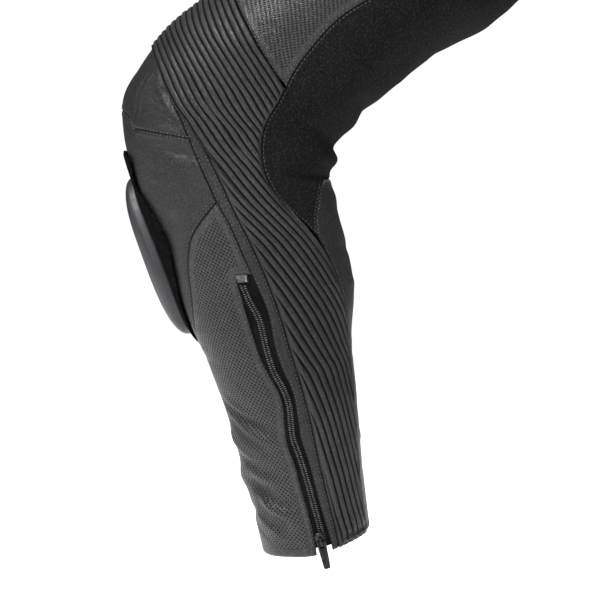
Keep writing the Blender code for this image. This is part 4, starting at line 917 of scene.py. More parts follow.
plain_leather = leather("satin cowhide, pebbled", "#2a2a2b", "#39393b", 0.36, 0.22)
punched_leather = leather("satin cowhide, punched", "#2e2e30", "#3f3f41", 0.34, 0.34, holes=True)
ribbed_leather = leather("satin cowhide, sewn into ribs", "#323234", "#434345", 0.34, 0.22, ribs=True)
# a paler grey copy of the leather, used for the zip's end tab
pale_grey_leather = leather("satin cowhide, pale grey", "#4a4a4c", "#6a6a6c", 0.34)
print("leather materials: 4")

# %% [markdown]
# ### Cloth, lining, tape and thread
# The stretch cloth is a heavy aramid knit: matt, nearly black, with ribs about 0.7 mm apart, drawn at 1.6 mm. The
# lining is a polyester mesh with small holes. Hook-and-loop is a mat of tiny loops. Zip tape is a tight
# polyester weave. The knit, the lining and the loops have fuzz that scatters light at grazing angles, which
# sheen gives. Bonded nylon thread is smooth and slightly glossy.

# %% Cloth materials
CLOTH_NOISE = (
    # waves per metre, detail, roughness
    (420, 4, 0.7),                  # fuzz
    (30, 4, 0.55),                  # uneven dye
    (640, 2, 0.5),                  # pale flecks
)
WEAVE_CROSS = 0.8                   # a thread's width crosswise, as a share of its pitch


def cloth(name, dark, light, pitch, height, sheen, rough=0.9, flecks=0.0, gloss=0.1):
    """A weave of two crossed waves in the UV map, with fuzz and paler flecks of noise."""
    material, node = new_material(name)
    fuzz, dye, specks = noises(node, node("TexCoord", output="Object"), CLOTH_NOISE)
    waves = [node("Math", node("Math", node("SeparateXYZ", node("UVMap"), output=k), 2 * math.pi / size,
                               operation="MULTIPLY"), operation="SINE")
             for k, size in ((0, pitch), (1, pitch * WEAVE_CROSS))]
    weave = node("MapRange", node("Math", *waves, operation="MULTIPLY"), -1.0, 1.0, **SMOOTH)
    shade = node("MapRange", node("Math", weave, dye, operation="MULTIPLY"), 0.0, 0.6, **SMOOTH)
    fleck = node("Math", node("MapRange", specks, 0.46, 0.70, **SMOOTH), flecks, operation="MULTIPLY")
    colour = node("Mix", {0: shade, 6: dark, 7: light}, **COLOUR)
    relief = node("Math", fuzz, 1.6, weave, operation="MULTIPLY_ADD")
    return finish(
        material, IOR=1.45, Specular_IOR_Level=gloss, Sheen_Weight=sheen, Sheen_Roughness=0.5,
        Sheen_Tint="#9a9a9c", Base_Color=node("Mix", {0: fleck, 6: colour, 7: "#3c3c3e"}, **COLOUR),
        Roughness=node("MapRange", fuzz, 0.2, 0.8, rough - 0.06, min(1.0, rough + 0.06), **SMOOTH),
        Normal=node("Bump", {"Height": relief, "Distance": height * MM, "Strength": 0.7}))


stretch_cloth = cloth("aramid stretch knit", "#080808", "#161617", 1.6 * MM, 0.45, 0.03, flecks=0.3)
lining_mesh = cloth("polyester lining mesh", "#141415", "#343436", 3.0 * MM, 0.4, 0.08)
loop_mat = cloth("hook-and-loop mat", "#020202", "#0c0c0c", 1.2 * MM, 0.9, 0.03, 0.95, flecks=0.25, gloss=0.0)
zip_tape = cloth("woven zip tape", "#0c0c0d", "#1e1e1f", 0.9 * MM, 0.2, 0.0, gloss=0.0)


def smooth_finish(name, colour, light, rough, scale, metallic=0.0):
    """A moulded, cast or spun finish: slightly uneven colour and roughness, and a faint waviness."""
    material, node = new_material(name)
    cloud, scuff = noises(node, node("TexCoord", output="Object"), ((scale, 5, 0.6), (scale * 9, 3, 0.7)))
    return finish(
        material, Metallic=metallic,
        Base_Color=node("Mix", {0: node("MapRange", cloud, 0.3, 0.7, **SMOOTH), 6: colour, 7: light}, **COLOUR),
        Roughness=node("MapRange", scuff, 0.25, 0.8, rough - 0.05, rough + 0.12, **SMOOTH),
        Normal=node("Bump", {"Height": scuff, "Distance": 0.05 * MM, "Strength": 0.35}))


thread = smooth_finish("bonded nylon thread", "#202023", "#454547", 0.42, 300.0)
slider_plastic = smooth_finish("moulded urethane, satin", "#1d1d20", "#29292c", 0.46, 25.0)
coil_nylon = smooth_finish("moulded nylon coil", "#2c2c2e", "#4c4c4f", 0.22, 200.0)
dark_zinc = smooth_finish("black plated cast zinc", "#222224", "#3c3c3e", 0.32, 160.0, metallic=1.0)
bright_zinc = smooth_finish("bright plated cast zinc", "#7a7a7c", "#98989c", 0.30, 160.0, metallic=1.0)
nickel = smooth_finish("nickel plated brass", "#a9a7a2", "#bdbbb6", 0.26, 160.0, metallic=1.0)
print("cloth and smooth finishes are ready")

# %% [markdown]
# ## Panels
# A panel is a grid of places, lifted by its creases and shaped at its edge. Leather dips into its seam, then
# swells over the allowance folded beneath it, and dips a little again at each line of stitches. Solidify gives
# it its thickness inwards, with the lining's material on the inside. The mirror image makes the other leg.

# %% Helper that makes a sheet
LEATHER_THICK, CLOTH_THICK = 1.5 * MM, 1.1 * MM
GROOVE, SWELL, DENT = (0.95, 0.7), (0.40, 3.3, 1.7), (0.32, 0.45)    # mm: depth or height, place, width
ROW_SHADE_WIDTH = 0.55                                                 # mm, half width of the painted shade along a row of stitches


def edge_profile(distance):
    """Metres: - groove x exp(-(d / w)^2) + swell x exp(-((d - place) / w)^2), d in mm from the edge."""
    return MM * (-GROOVE[0] * np.exp(-(distance / GROOVE[1]) ** 2)
                 + SWELL[0] * np.exp(-((distance - SWELL[1]) / SWELL[2]) ** 2))


def row_dent(distance):
    """Metres that a row of stitches pulls the leather down, at a distance in mm from the row."""
    return DENT[0] * MM * np.exp(-(distance / DENT[1]) ** 2)


def cells_of(index):
    """Corner numbers of the cells between the rows and columns of a table of vertex numbers, facing outwards."""
    return np.stack([index[:-1, :-1], index[1:, :-1], index[1:, 1:], index[:-1, 1:]], -1).reshape(-1, 4)


def quads(rows, columns, wrap=False):
    """The cells of a whole grid; wrap joins the last column to the first."""
    index = np.arange(rows * columns).reshape(rows, columns)
    return cells_of(np.concatenate([index, index[:, :1]], 1) if wrap else index)


def add_mesh(name, verts, faces, material, uv=None, fields=()):
    """One smooth mesh from arrays. A quad with a repeated corner becomes a triangle, and a name that starts
    with left makes the mirror image."""
    mirrored = name.startswith("left_")
    mesh = bpy.data.meshes.new(name)
    mesh.from_pydata(verts * ((-1, 1, 1) if mirrored else (1, 1, 1)), [],
                     [list(dict.fromkeys(face[::-1] if mirrored else face))
                      for face in (faces if isinstance(faces, list) else faces.tolist())])
    for key, values in dict(fields).items():
        mesh.attributes.new(key, "FLOAT", "POINT").data.foreach_set("value", np.asarray(values, np.float32).ravel())
    if uv is not None:
        corners_of = np.empty(len(mesh.loops), np.int32)
        mesh.loops.foreach_get("vertex_index", corners_of)
        mesh.uv_layers.new(name="flat").data.foreach_set("uv", uv[corners_of].astype(np.float32).ravel())
    mesh.materials.append(material)
    mesh.shade_smooth()
    mesh.update()
    obj = bpy.data.objects.new(name, mesh)
    bpy.context.scene.collection.objects.link(obj)
    return obj


def on_both_legs(name, *mesh):
    """The right piece and its mirror image, as (side, object) pairs."""
    return [(side, add_mesh(f"{side}_{name}", *mesh)) for side in ("right", "left")]


def solid(obj, thick, inside):
    """Solidify: thick metres inwards, the inner side in its own material."""
    modifier = obj.modifiers.new("thickness", "SOLIDIFY")
    modifier.thickness, modifier.offset, modifier.use_rim, modifier.material_offset = thick, -1.0, True, 1
    obj.data.materials.append(inside)


def declare(obj, node):
    """The frame's bookkeeping for a sheet: its body, and the CAD node that it stands for, which is hidden."""
    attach(obj, "root")
    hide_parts(node)


def add_sheets(name, places, height, look, thick, fields=(), faces=None, span=None):
    """The right panel and its mirror image, each made thick and declared. The places are a grid, or a list with its
    faces, whose first span = (rows, columns) places are the main grid; without faces, the grid's cells are the
    faces."""
    base, out = surface(places[..., 0], places[..., 1])
    points = (base + out * height[..., None]).reshape(-1, 3)
    rows, columns = span or places.shape[:2]
    faces = quads(rows, columns) if faces is None else faces
    flat = flat_place(places[..., 0], places[..., 1]).reshape(-1, 2)
    for side, obj in on_both_legs(name + "_sheet", points, faces, look, flat, fields):
        solid(obj, thick, lining_mesh)
        declare(obj, f"{side}_{name}")


print("edge height at 0, 1.5, 3.3 mm:", np.round(edge_profile(np.array([0, 1.5, 3.3])) / MM, 2))

# %% [markdown]
# ## Stitching
# Seams on riding leathers are topstitched: after the pieces are joined, one or two more rows are sewn beside the
# seam, through the allowance folded under. Each stitch is a short capsule of thread that dips at both ends. It is
# made once, as rings turned round a line, and carried to every place by one product of arrays.

# %% One stitch
STITCH_PITCH, STITCH_LONG, STITCH_THICK = 3.6 * MM, 2.5 * MM, 0.8 * MM
CAPSULE_SIDES = 5


def capsule(long, thick, sides=CAPSULE_SIDES):
    """Rings at shares 0.14, 0.5 and 0.86 of the length, the middle one raised, with a low point at each end."""
    a = np.linspace(0, 2 * math.pi, sides, endpoint=False)
    rings = [np.stack([x * long + 0 * a, np.cos(a) * thick / 2 * r, np.sin(a) * thick / 2 * r + z * thick], 1)
             for x, r, z in ((-0.36, 0.85, 0.0), (0.0, 1.0, 0.12), (0.36, 0.85, 0.0))]
    points = np.concatenate(rings + [np.array([[-long / 2, 0, -0.3 * thick], [long / 2, 0, -0.3 * thick]])])
    k = np.arange(sides)
    j = (k + 1) % sides
    faces = [(3 * sides + 0 * k, j, k), (3 * sides + 1 + 0 * k, 2 * sides + k, 2 * sides + j)]
    for r in (0, sides):
        faces += [(k + r, j + r, j + r + sides), (k + r, j + r + sides, k + r + sides)]
    return points, np.concatenate([np.stack(f, 1) for f in faces])


def carried(template, faces, origin, along, out):
    """Every template point as origin + along x + across y + out z, for all origins at once."""
    basis = np.stack([along, np.cross(out, along), out], 1)
    points = origin[:, None] + np.einsum("pk,nkc->npc", template, basis)
    numbers = faces[None] + (np.arange(len(origin)) * len(template))[:, None, None]
    return points.reshape(-1, 3), numbers.reshape(-1, 3)


one_stitch, stitch_faces = capsule(STITCH_LONG, STITCH_THICK)
print("a stitch has", len(stitch_faces), "triangles")

# %% [markdown]
# A row of stitches is its seam's route moved sideways over the form. The stitches follow its creases, and their
# distance to each place of the leather tells it where to dip and where painted shade darkens it.

# %% Rows of stitches


def beside(path, distance):
    """The route moved sideways by a distance in metres, + to its left; the step in space, out x along, is turned
    into steps of level and turn with the surface's two slopes."""
    p, out = surface(path[:, 0], path[:, 1])
    side = np.cross(out, unit(np.gradient(p, axis=0))) * distance
    down = np.where(path[:, 0] > WAIST_LEVEL - 1, -0.5, 0.5)
    up = (surface(path[:, 0] + down, path[:, 1])[0] - p) / down[:, None]
    turned = np.where(path[:, 1] > 99, -0.1, 0.1)
    around = (surface(path[:, 0], path[:, 1] + turned)[0] - p) / turned[:, None]
    a, b, c = (up * up).sum(1), (up * around).sum(1), (around * around).sum(1)
    r, s = (up * side).sum(1), (around * side).sum(1)
    return path + np.stack([(c * r - b * s), (a * s - b * r)], 1) / (a * c - b * b)[:, None]


def stitches_on(line, out, pitch=STITCH_PITCH, trim=2.0 * MM):
    """Origins, directions along and outward at an even pitch on a line of points in space."""
    run = np.concatenate([[0], np.cumsum(np.linalg.norm(np.diff(line, axis=0), axis=1))])
    stops = np.arange(trim, run[-1] - trim, pitch)
    origin, ahead, up = (np.stack([np.interp(at, run, values[:, k]) for k in range(3)], 1)
                         for at, values in ((stops, line), (stops + 0.5 * MM, line), (stops, out)))
    up = unit(up)
    step = unit(ahead - origin)
    return origin, unit(step - up * (step * up).sum(1, keepdims=True)), up


def stitch_row(path, rise, **spacing):
    """Stitches on a route over the form, rise metres above it and its creases."""
    base, out = surface(path[:, 0], path[:, 1])
    return stitches_on(base + out * (crease_height(path[:, 0], path[:, 1]) + rise)[:, None], out, **spacing)


def inner_rows(sides, rows):
    """Each named seam of a panel moved inwards: (distance in mm, route) for every row sewn beside it."""
    return [(distance, beside(run, hand * distance * MM))
            for side, hand in zip(sides, (-1, 1, 1, -1)) for seam, run in side for distance in rows.get(seam, ())]


def row_distance(points, lines):
    """Distance in mm from points to the nearest of the rows."""
    if not lines:
        return np.full(points.shape[:-1], 99.0)
    places = [surface(*line[::2].T)[0] for _, line in lines]
    return line_distance(points, np.concatenate([p[:-1] for p in places]), np.concatenate([p[1:] for p in places]))


sewn = []                           # rows of stitches of one leg, collected panel by panel
THREAD_RISE = 0.10 * MM             # the thread's middle lies this far above the bottom of its groove
print("stitch pitch, mm:", STITCH_PITCH / MM)

# %% [markdown]
# ## The plain panels
# The table gives, for each panel, its four sides as lists of seams, its finish, the spacing of its grid and the
# rows of stitches beside its seams. A leg seen close by needs a finer grid than the seat.

# %% Table of panels
LOOKS = {
    # look: material, slot, thickness
    "leather": (plain_leather, "leather", LEATHER_THICK),
    "punched": (punched_leather, "perforated_leather", LEATHER_THICK),
    "stretch": (stretch_cloth, "stretch_cloth", CLOTH_THICK),
}
CLOSE, DOUBLE, WIDE, HEM = (1.5,), (1.5, 5.1), (1.5, 5.8), (7.0,)       # mm from the edge
PANELS = {
    # name: turns counted from, look, step mm, (bottom, top, left, right), rows of stitches
    "front_thigh": (-50, "punched", 3.6, (
        ("rib_top_edge",), ("waist_front",), ("thigh_cloth", "gusset_front", "inseam", "rise_front"),
        ("side_thigh",)),
        {"rib_top_edge": CLOSE, "side_thigh": DOUBLE, "rise_front": DOUBLE, "thigh_cloth": CLOSE}),
    "seat": (41, "leather", 4.6, (
        ("knee_outer",), ("waist_back",), ("side_knee", "side_strip", "side_ribs", "side_thigh"),
        ("seat_cloth", "gusset_back", "inseam", "rise_back")),
        {"seat_cloth": DOUBLE, "knee_outer": DOUBLE, "side_knee": CLOSE, "side_thigh": CLOSE,
         "side_ribs": DOUBLE, "rise_back": DOUBLE}),
    "stretch": (-50, "stretch", 3.2, (
        ("calf_cloth", "calf_fold"), ("gusset_back", "gusset_front"), ("seat_cloth",),
        ("rib_back_high", "thigh_cloth")),
        {"rib_back_high": CLOSE, "thigh_cloth": CLOSE, "calf_cloth": CLOSE, "seat_cloth": CLOSE}),
    "calf_back": (-50, "leather", 3.2, (
        ("hem_calf_back",), ("calf_fold",), ("calf_side",), ("rib_back_low", "calf_cloth")),
        {"rib_back_low": CLOSE, "calf_cloth": CLOSE, "calf_side": DOUBLE, "calf_fold": CLOSE,
         "hem_calf_back": HEM}),
    "calf_outer": (-60, "leather", 3.6, (
        ("hem_calf_outer",), ("knee_outer",), ("side_shin", "side_shin_top"), ("calf_side",)),
        {"side_shin": DOUBLE, "side_shin_top": DOUBLE, "calf_side": CLOSE, "hem_calf_outer": HEM}),
    "strip": (-50, "leather", 2.2, (
        ("hem_strip",), ("side_strip",), ("strip_back",),
        ("strip_front_hem", "strip_front_shin", "strip_front_low", "strip_front_knee", "strip_front_top")),
        {"strip_back": CLOSE, "strip_front_hem": CLOSE, "strip_front_shin": CLOSE, "strip_front_low": CLOSE,
         "strip_front_knee": CLOSE, "strip_front_top": CLOSE}),
    "knee_front": (-50, "leather", 3.0, (
        ("knee_seam_front",), ("strip_front_top",), ("knee_centre",), ("side_knee",)),
        {"knee_seam_front": CLOSE, "strip_front_top": CLOSE}),
    "knee_lower": (-50, "leather", 2.4, (
        ("shin_seam",), ("knee_seam", "knee_seam_front"), ("strip_front_low",), ("side_shin_top",)),
        {"shin_seam": DOUBLE, "knee_seam": CLOSE, "knee_seam_front": CLOSE}),
    "shin_perforated": (-50, "punched", 2.4, (
        ("hem_shin",), ("shin_seam",), ("zip_front", "zip_top", "strip_front_shin"), ("side_shin",)),
        {"zip_front": WIDE, "strip_front_shin": CLOSE, "side_shin": CLOSE, "hem_shin": HEM}),
}
print(len(PANELS), "plain panels on each leg, besides the upper knee piece and the waistband")

# %% [markdown]
# Most panels are one patch. Three of them have an inner corner, where a patch would fold over itself, so they get
# a patch and a wedge. The upper knee piece is a triangle, so one of its sides is split in two.

# %% Make the plain panels
EDGE_SHARE = {"strip": 0.5, "stretch": 0.4}         # narrow and thin pieces roll less into their seams
FLUSH_SEAMS = ("knee_centre",)                      # pieces that lie against each other with no groove
FLUSH_DISTANCE = 1.3                                # mm from an edge, where the leather is level
WEDGES = {
    # panel: its side with an inner corner (2 left, 3 right), the corner, the next corner, the level where a line
    # from the inner corner joins the side again, and places on that line
    "shin_perforated": (2, (252, 4.0), (252, 1.2), 316, ((275, 3.7), (298, 3.2))),
    "front_thigh": (2, (804, 5.0), (804, 0.0), 890, ((830, 3.2), (860, 1.2))),
    "seat": (3, (804, 91.0), (804, 100.0), 900, ((830, 94.6), (865, 98.4))),
}
WEDGE_COLUMNS = 4
KNEE_SPLIT = 398                    # level where the triangular upper knee piece gets its fourth corner


def loop_points(sides):
    """The closed edge of a panel in space."""
    bottom, top, left, right = (whole_path(s) for s in sides)
    return surface(*np.concatenate([bottom[:-1], right[:-1], top[::-1][:-1], left[::-1][:-1]]).T)[0]


def nearest(route, place):
    return np.abs((route - place) * (1, per_turn)).sum(axis=1).argmin()


def wedged_grid(paths, step, side, corner, turned, join, between):
    """A side with an inner corner would fold a Coons patch. So a smooth line is drawn from the corner to the place
    where it joins the side again, the patch is made with that line, and a wedge of the same rows fills the rest.
    Returns the places as a list, the faces and the size of the main grid."""
    route = paths[side]
    a, b = nearest(route, corner), nearest(route, turned)
    j = b + np.abs(route[b:, 0] - join).argmin()
    line = smooth_route([route[a], *between, route[j]])
    paths = [*paths]
    paths[side] = np.concatenate([route[:a], line, route[j + 1:]])
    run = lengths(paths[side])
    start, end = run[a] / run[-1], run[min(a + len(line) - 1, len(run) - 1)] / run[-1]
    grid, (low, high) = patch_grid(paths, step, (side, (start, end)))
    edge = grid[low:high + 1, 0 if side == 2 else -1]
    other = read(route[b:j + 1], np.linspace(0, 1, high - low + 1))
    width = np.linalg.norm(surface(*edge.T)[0] - surface(*other.T)[0], axis=1) / MM
    share = spread(np.maximum(width, 0.01), WEDGE_COLUMNS)[:, :-1, None]
    wedge = other[:, None] * (1 - share) + edge[:, None] * share
    index = np.arange(grid.shape[0] * grid.shape[1]).reshape(grid.shape[:2])
    own = index.size + np.arange(wedge.shape[0] * wedge.shape[1]).reshape(wedge.shape[:2])
    own[-1] = index[high, 0 if side == 2 else -1]
    sewn_on = (np.concatenate([own, index[low:high + 1, :1]], 1) if side == 2 else
               np.concatenate([index[low:high + 1, -1:], own[:, ::-1]], 1))
    faces = np.concatenate([cells_of(index), cells_of(sewn_on)])
    places = np.concatenate([grid.reshape(-1, 2), wedge[:-1].reshape(-1, 2)])
    return places, faces, grid.shape[:2]


def make_panel(name, sides, lines, look, step):
    """A Coons grid over the sides, with creases, the edge's shape and its sewn rows, on both legs."""
    paths = [whole_path(s) for s in sides]
    if name in WEDGES:
        places, faces, span = wedged_grid(paths, step, *WEDGES[name])
    else:
        places, _ = patch_grid(paths, step)
        span = places.shape[:2]
        places, faces = places.reshape(-1, 2), quads(*span)
    base, _ = surface(*places.T)
    away, row = edge_distance(base, loop_points(sides)), row_distance(base, lines)
    flush = [run for side in sides for seam, run in side if seam in FLUSH_SEAMS]
    if flush:
        line = surface(*flush[0].T)[0]
        nearer = line_distance(base, line[:-1], line[1:]) < away + 0.01
        away = np.where(nearer, np.maximum(away, FLUSH_DISTANCE), away)
    material, slot, thick = LOOKS[look]
    share = EDGE_SHARE.get(name, 1.0)
    height = crease_height(*places.T) + share * edge_profile(away) - row_dent(row)
    # the sheet gets the distance to its edge, and the painted shade along its rows of stitches
    add_sheets(name, places, height, material, thick,
               {"edge": away, "needle_line": np.exp(-(row / ROW_SHADE_WIDTH) ** 2)}, faces, span)
    for distance, line in lines:
        rise = share * edge_profile(np.array(distance)) - row_dent(0.0) + THREAD_RISE
        sewn.append(stitch_row(line, rise))
    a, b, c, d = (places * (1, per_turn))[faces.T]
    turned = np.cross(c - a, d - b)
    print("%-16s %6d cells, %d turned over" % (name, len(faces), (turned * np.median(turned) < 0).sum()))


for name, (start_turn, look, step, names, rows) in PANELS.items():
    sides = four_sides(start_turn, names)
    make_panel(name, sides, inner_rows(sides, rows), look, step)
(_, beside_strip), = chain(-50, ("strip_front_knee",))
split = np.abs(beside_strip[:, 0] - KNEE_SPLIT).argmin()
sides = (chain(-50, ("knee_seam",)), [("upper", beside_strip[split:])], [("lower", beside_strip[:split + 1])],
         chain(-50, ("knee_centre",)))
make_panel("knee_upper", sides, inner_rows(sides, {"knee_seam": CLOSE}), "leather", 2.2)

# %% [markdown]
# ## The accordion panel
# Leather is sewn down in lines over elastic, so that it rises into ribs between them. The grid follows the
# ribs: one row for each of twelve places on every rib, running from the front edge of the panel to its back
# edge. The rib's section is a flat-topped arch with narrow valleys, and the ribs sink into the seams.

# %% Accordion
RIB_HEIGHT, RIB_POWER, RIB_SINK = 2.8 * MM, 0.34, 4.5 * MM
RIB_PHASES = np.array([0, 0.02, 0.06, 0.12, 0.22, 0.36, 0.5, 0.64, 0.78, 0.88, 0.94, 0.98])
RIB_COLUMNS = 62
RIB_FLAT_AT_HEM = 0.55              # share of a rib's height that the row of stitches at the hem takes off
RIB_CREASE_SHARE, RIB_EDGE_SHARE = 0.6, 0.7         # ribs are stiffer than plain leather
RIB_PALE_HEM = 8.0                  # mm above the hem below which the valleys' painted shade is lighter

hem_ribs, *high_ribs = chain(-50, ("hem_ribs", "rib_back_low", "rib_back_high"))
rib_front = whole_path(chain(-50, ("strip_back", "side_ribs")))
rib_back = whole_path([hem_ribs, *high_ribs])
top_number = float(rib_number(*rib_front[0]))
numbers = np.concatenate([(n + RIB_PHASES) for n in range(1, int(top_number) + 1)])
numbers = np.append(numbers[numbers < top_number - 0.05], top_number - 0.02)[::-1]


def met(path, number):
    """Places where a route meets the rib numbers, read off its own falling numbers."""
    own = np.maximum.accumulate(rib_number(path[:, 0], path[:, 1])[::-1])[::-1]
    return np.stack([np.interp(-number, -own, path[:, k]) for k in (0, 1)], -1)


def rib_arch(number, turn):
    """|sin(pi x number)|^power, its valley wandering a little along the rib."""
    wander = 0.05 * np.sin(turn * 0.55 + np.floor(number) * 1.9) * np.sin(math.pi * number) ** 2
    return np.abs(np.sin(math.pi * (number + wander))) ** RIB_POWER


def hem_share(level):
    """Share of a rib's height that is left near the hem's row of stitches."""
    return 1 - RIB_FLAT_AT_HEM * np.exp(-((level - HEM[0]) / 2.2) ** 2)


front_end, back_end = met(rib_front, numbers), met(rib_back, numbers)
reach = np.linalg.norm(surface(*front_end.T)[0] - surface(*back_end.T)[0], axis=1) / MM
share = spread(np.maximum(reach, 1.0), RIB_COLUMNS)
turn = back_end[:, 1:] * (1 - share) + front_end[:, 1:] * share
level = rib_level(np.broadcast_to(numbers[:, None], turn.shape), turn)
level[:, 0], level[:, -1] = back_end[:, 0], front_end[:, 0]
ribs = np.stack([level, turn], -1)
base, _ = surface(level, turn)
distance = edge_distance(base, np.concatenate([base[:, -1], base[::-1, 0]]))
on_hem = np.clip(1 - back_end[:, 0] / 3, 0, 1)[:, None] * (share < 0.5)
sink = np.clip(distance * MM / RIB_SINK, 0, 1)
sink = np.maximum(sink * sink * (3 - 2 * sink), on_hem * 0.6)
uneven = 1 + 0.12 * np.sin(turn * 0.9 + numbers[:, None] * 2.3) * np.sin(level * 0.031 + turn * 0.35)
arch = rib_arch(numbers[:, None], turn)
hem_turns = np.linspace(CORNERS["hem_strip_back"][1] - 0.4, CORNERS["hem_rib_back"][1] + 0.4, 60)
hem_row = np.stack([np.full(60, HEM[0]), hem_turns], 1)
row = row_distance(base, [(HEM[0], hem_row)])
height = (crease_height(level, turn) * RIB_CREASE_SHARE + edge_profile(distance) * RIB_EDGE_SHARE
          + RIB_HEIGHT * arch * hem_share(level) * sink * uneven)
# rib is the height on a rib, flattened near the hem and the seams, and steers the painted shade in the valleys; the
# hem's row gets painted shade along its stitches
add_sheets("accordion", ribs, height, ribbed_leather, LEATHER_THICK, {
    "edge": distance, "rib": 1 - (1 - arch) * np.clip(level / RIB_PALE_HEM, 0.25, 1) * sink,
    "needle_line": np.exp(-(row / ROW_SHADE_WIDTH) ** 2)})
fine_row = smooth_route(hem_row, 0.5 * MM)
base, out = surface(*fine_row.T)
rise = RIB_HEIGHT * rib_arch(rib_number(*fine_row.T), fine_row[:, 1]) * hem_share(fine_row[:, 0]) + THREAD_RISE
sewn.append(stitches_on(base + out * rise[:, None], out))
print("ribs %d, rows %d, columns %d" % (top_number, *turn.shape))

# %% [markdown]
# ## Waistband
# A band of doubled leather, 40 mm wide, closes the top. It is a patch like the others, from the centre front to
# the centre back.

# %% Waistband
band_sides = four_sides(None, (("waist_front", "waist_back"), ("band_front", "band_back"), ("band_end_front",),
                               ("band_end_back",)))
band_rows = {seam: CLOSE for seam in ("waist_front", "waist_back", "band_front", "band_back")}
make_panel("waistband", band_sides, inner_rows(band_sides, band_rows), "leather", 4.2)

# %% [markdown]
# ## Zip
# A coil zip closes the hem. Its black tape is tucked under the leather on both sides and bends with it. The coil
# is a chain of small nylon loops, whose tops show as two rows of fine teeth. The teeth are made with the
# stitches' method, 2.0 mm apart instead of 1.3 mm, so that they show. A cast stop ends the coil at the top.

# %% Zip
TAPE_ROUTE = ((5, -1.5), (30, -1.2), (60, -0.6), (84, 0.0), (103, 0.7), (120, 0.5), (147, 0.4), (166, 1.4),
              (185, 2.0), (210, 2.2), (238, 2.4), (256, 2.6))       # middle of the tape, from its lower end
TAPE_HALF = 12.5                    # mm, half of its width, a little of it under the leather
TAPE_SINK, TAPE_TUCK, COIL_RISE = 1.5 * MM, 1.3 * MM, 0.7 * MM
TUCK_FROM, TUCK_OVER = 0.55, 0.3    # shares of the half width where the tape starts to dive, and over which it does
COIL_REACH = 2.6                    # mm from the coil's middle where the tape's swelling ends
COIL_ROUTE = ((5, -2.3), (19, -2.1), (39, -1.5), (57, -1.0), (78, -0.3), (94, 0.4), (104, 0.9), (119, 0.6),
              (134, 0.2), (147, 0.5), (164, 1.65), (180, 2.05), (196, 2.1), (213, 2.15), (228, 2.95), (245, 3.4))
TOOTH_PITCH, TOOTH_LONG, TOOTH_THICK, ROW_SHIFT = 2.0 * MM, 3.0 * MM, 1.0 * MM, 1.5 * MM

tape_line = smooth_route(TAPE_ROUTE, 2 * MM)
tape_half = np.array([0.12, 0.22, 0.32, 0.45, 0.6, 0.72, 0.85, 1])
tape_offsets = np.concatenate([-tape_half[::-1], [0], tape_half])
places = np.stack([beside(tape_line, TAPE_HALF * MM * offset) for offset in tape_offsets], 1)
coil_line = smooth_route(COIL_ROUTE)
base, _ = surface(places[..., 0], places[..., 1])
coil_points, _ = surface(*coil_line.T)
from_coil = line_distance(base, coil_points[:-1], coil_points[1:])
height = (-TAPE_SINK - TAPE_TUCK * np.clip((np.abs(tape_offsets) - TUCK_FROM) / TUCK_OVER, 0, 1)
          + COIL_RISE * np.exp(-(from_coil / COIL_REACH) ** 4) + crease_height(places[..., 0], places[..., 1]))
add_sheets("zip", places, height, zip_tape, 0.8 * MM, {"edge": 0 * from_coil + 5})

one_tooth, tooth_faces = capsule(TOOTH_LONG, TOOTH_THICK)
rows = []
for hand in (1, -1):
    origin, step, out = stitch_row(beside(coil_line, hand * ROW_SHIFT), -TAPE_SINK + COIL_RISE + 0.6 * MM,
                                   pitch=TOOTH_PITCH, trim=(1.0 if hand > 0 else 2.05) * MM)
    across = unit(np.cross(out, step) + 0.25 * step)
    rows.append(carried(one_tooth, tooth_faces, origin, across, out))
points = np.concatenate([rows[0][0], rows[1][0]])
faces = np.concatenate([rows[0][1], rows[1][1] + len(rows[0][0])])
for side, coil in on_both_legs("zip_coil", points, faces, coil_nylon):
    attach(coil, "root")
    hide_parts(f"{side}_zip")
print("teeth on a zip:", len(faces) // len(tooth_faces))

# %% [markdown]
# The slider is two zinc plates joined by a post, with a bridge on top for the pull. Its outline is a superellipse
# that narrows downwards, carried through rings of a profile. The pull is a tapered plate: rings that lead from
# the outline of its eye to its own outline and back on the other side, so it closes like a flattened tyre.

# %% Slider and pull tab
SLIDER_AT, SLIDER_ABOVE, SLIDER_LIFT = (11, -1.5), (21, -1.25), 2.0 * MM
SLIDER_HALF, SLIDER_TAPER, SLIDER_THICK = (4.1, 7.5), 0.6, 3.2 * MM           # half width and length in mm
SLIDER_SPOKES, SLIDER_POWER = 40, 3.4
SLIDER_PROFILE = (
    # share of the outline, share of the thickness
    (0.3, 0.0), (0.93, 0.0), (1.0, 0.12), (1.0, 0.34), (0.93, 0.40), (0.80, 0.42), (0.80, 0.60), (0.93, 0.62),
    (1.0, 0.68), (1.0, 0.86), (0.92, 0.97), (0.80, 1.0), (0.3, 1.0),
)
BRIDGE_SPAN, BRIDGE_RISE, BRIDGE_BAR = 3.7 * MM, 5.2 * MM, (1.2 * MM, 0.8 * MM)
BRIDGE_RINGS, BRIDGE_SPOKES = 21, 12
EYE_MIDDLE, EYE_HALF, EYE_POWER = -3.0, (2.0, 2.3), 3.0                       # mm, from the pull's axis
PULL_HALF, PULL_ABOVE, PULL_BELOW, PULL_TAPER = 4.0, 3.75, 21.25, 0.28        # mm from the middle of the eye
PULL_SPOKES, PULL_POWER = 64, 12.0
PULL_RINGS = (
    # share of the way from the eye to the outline, half thickness mm
    (0.0, 0.50), (0.10, 0.75), (0.5, 0.75), (0.90, 0.75), (0.97, 0.62), (1.0, 0.40),
)
GRIP_TOP, GRIP_SLOPE, GRIP_SWELL = -15.8, 0.8, 0.45     # mm below the eye where the end gets thicker, and how much
PIVOT_HEIGHT = SLIDER_LIFT + SLIDER_THICK + 1.8 * MM


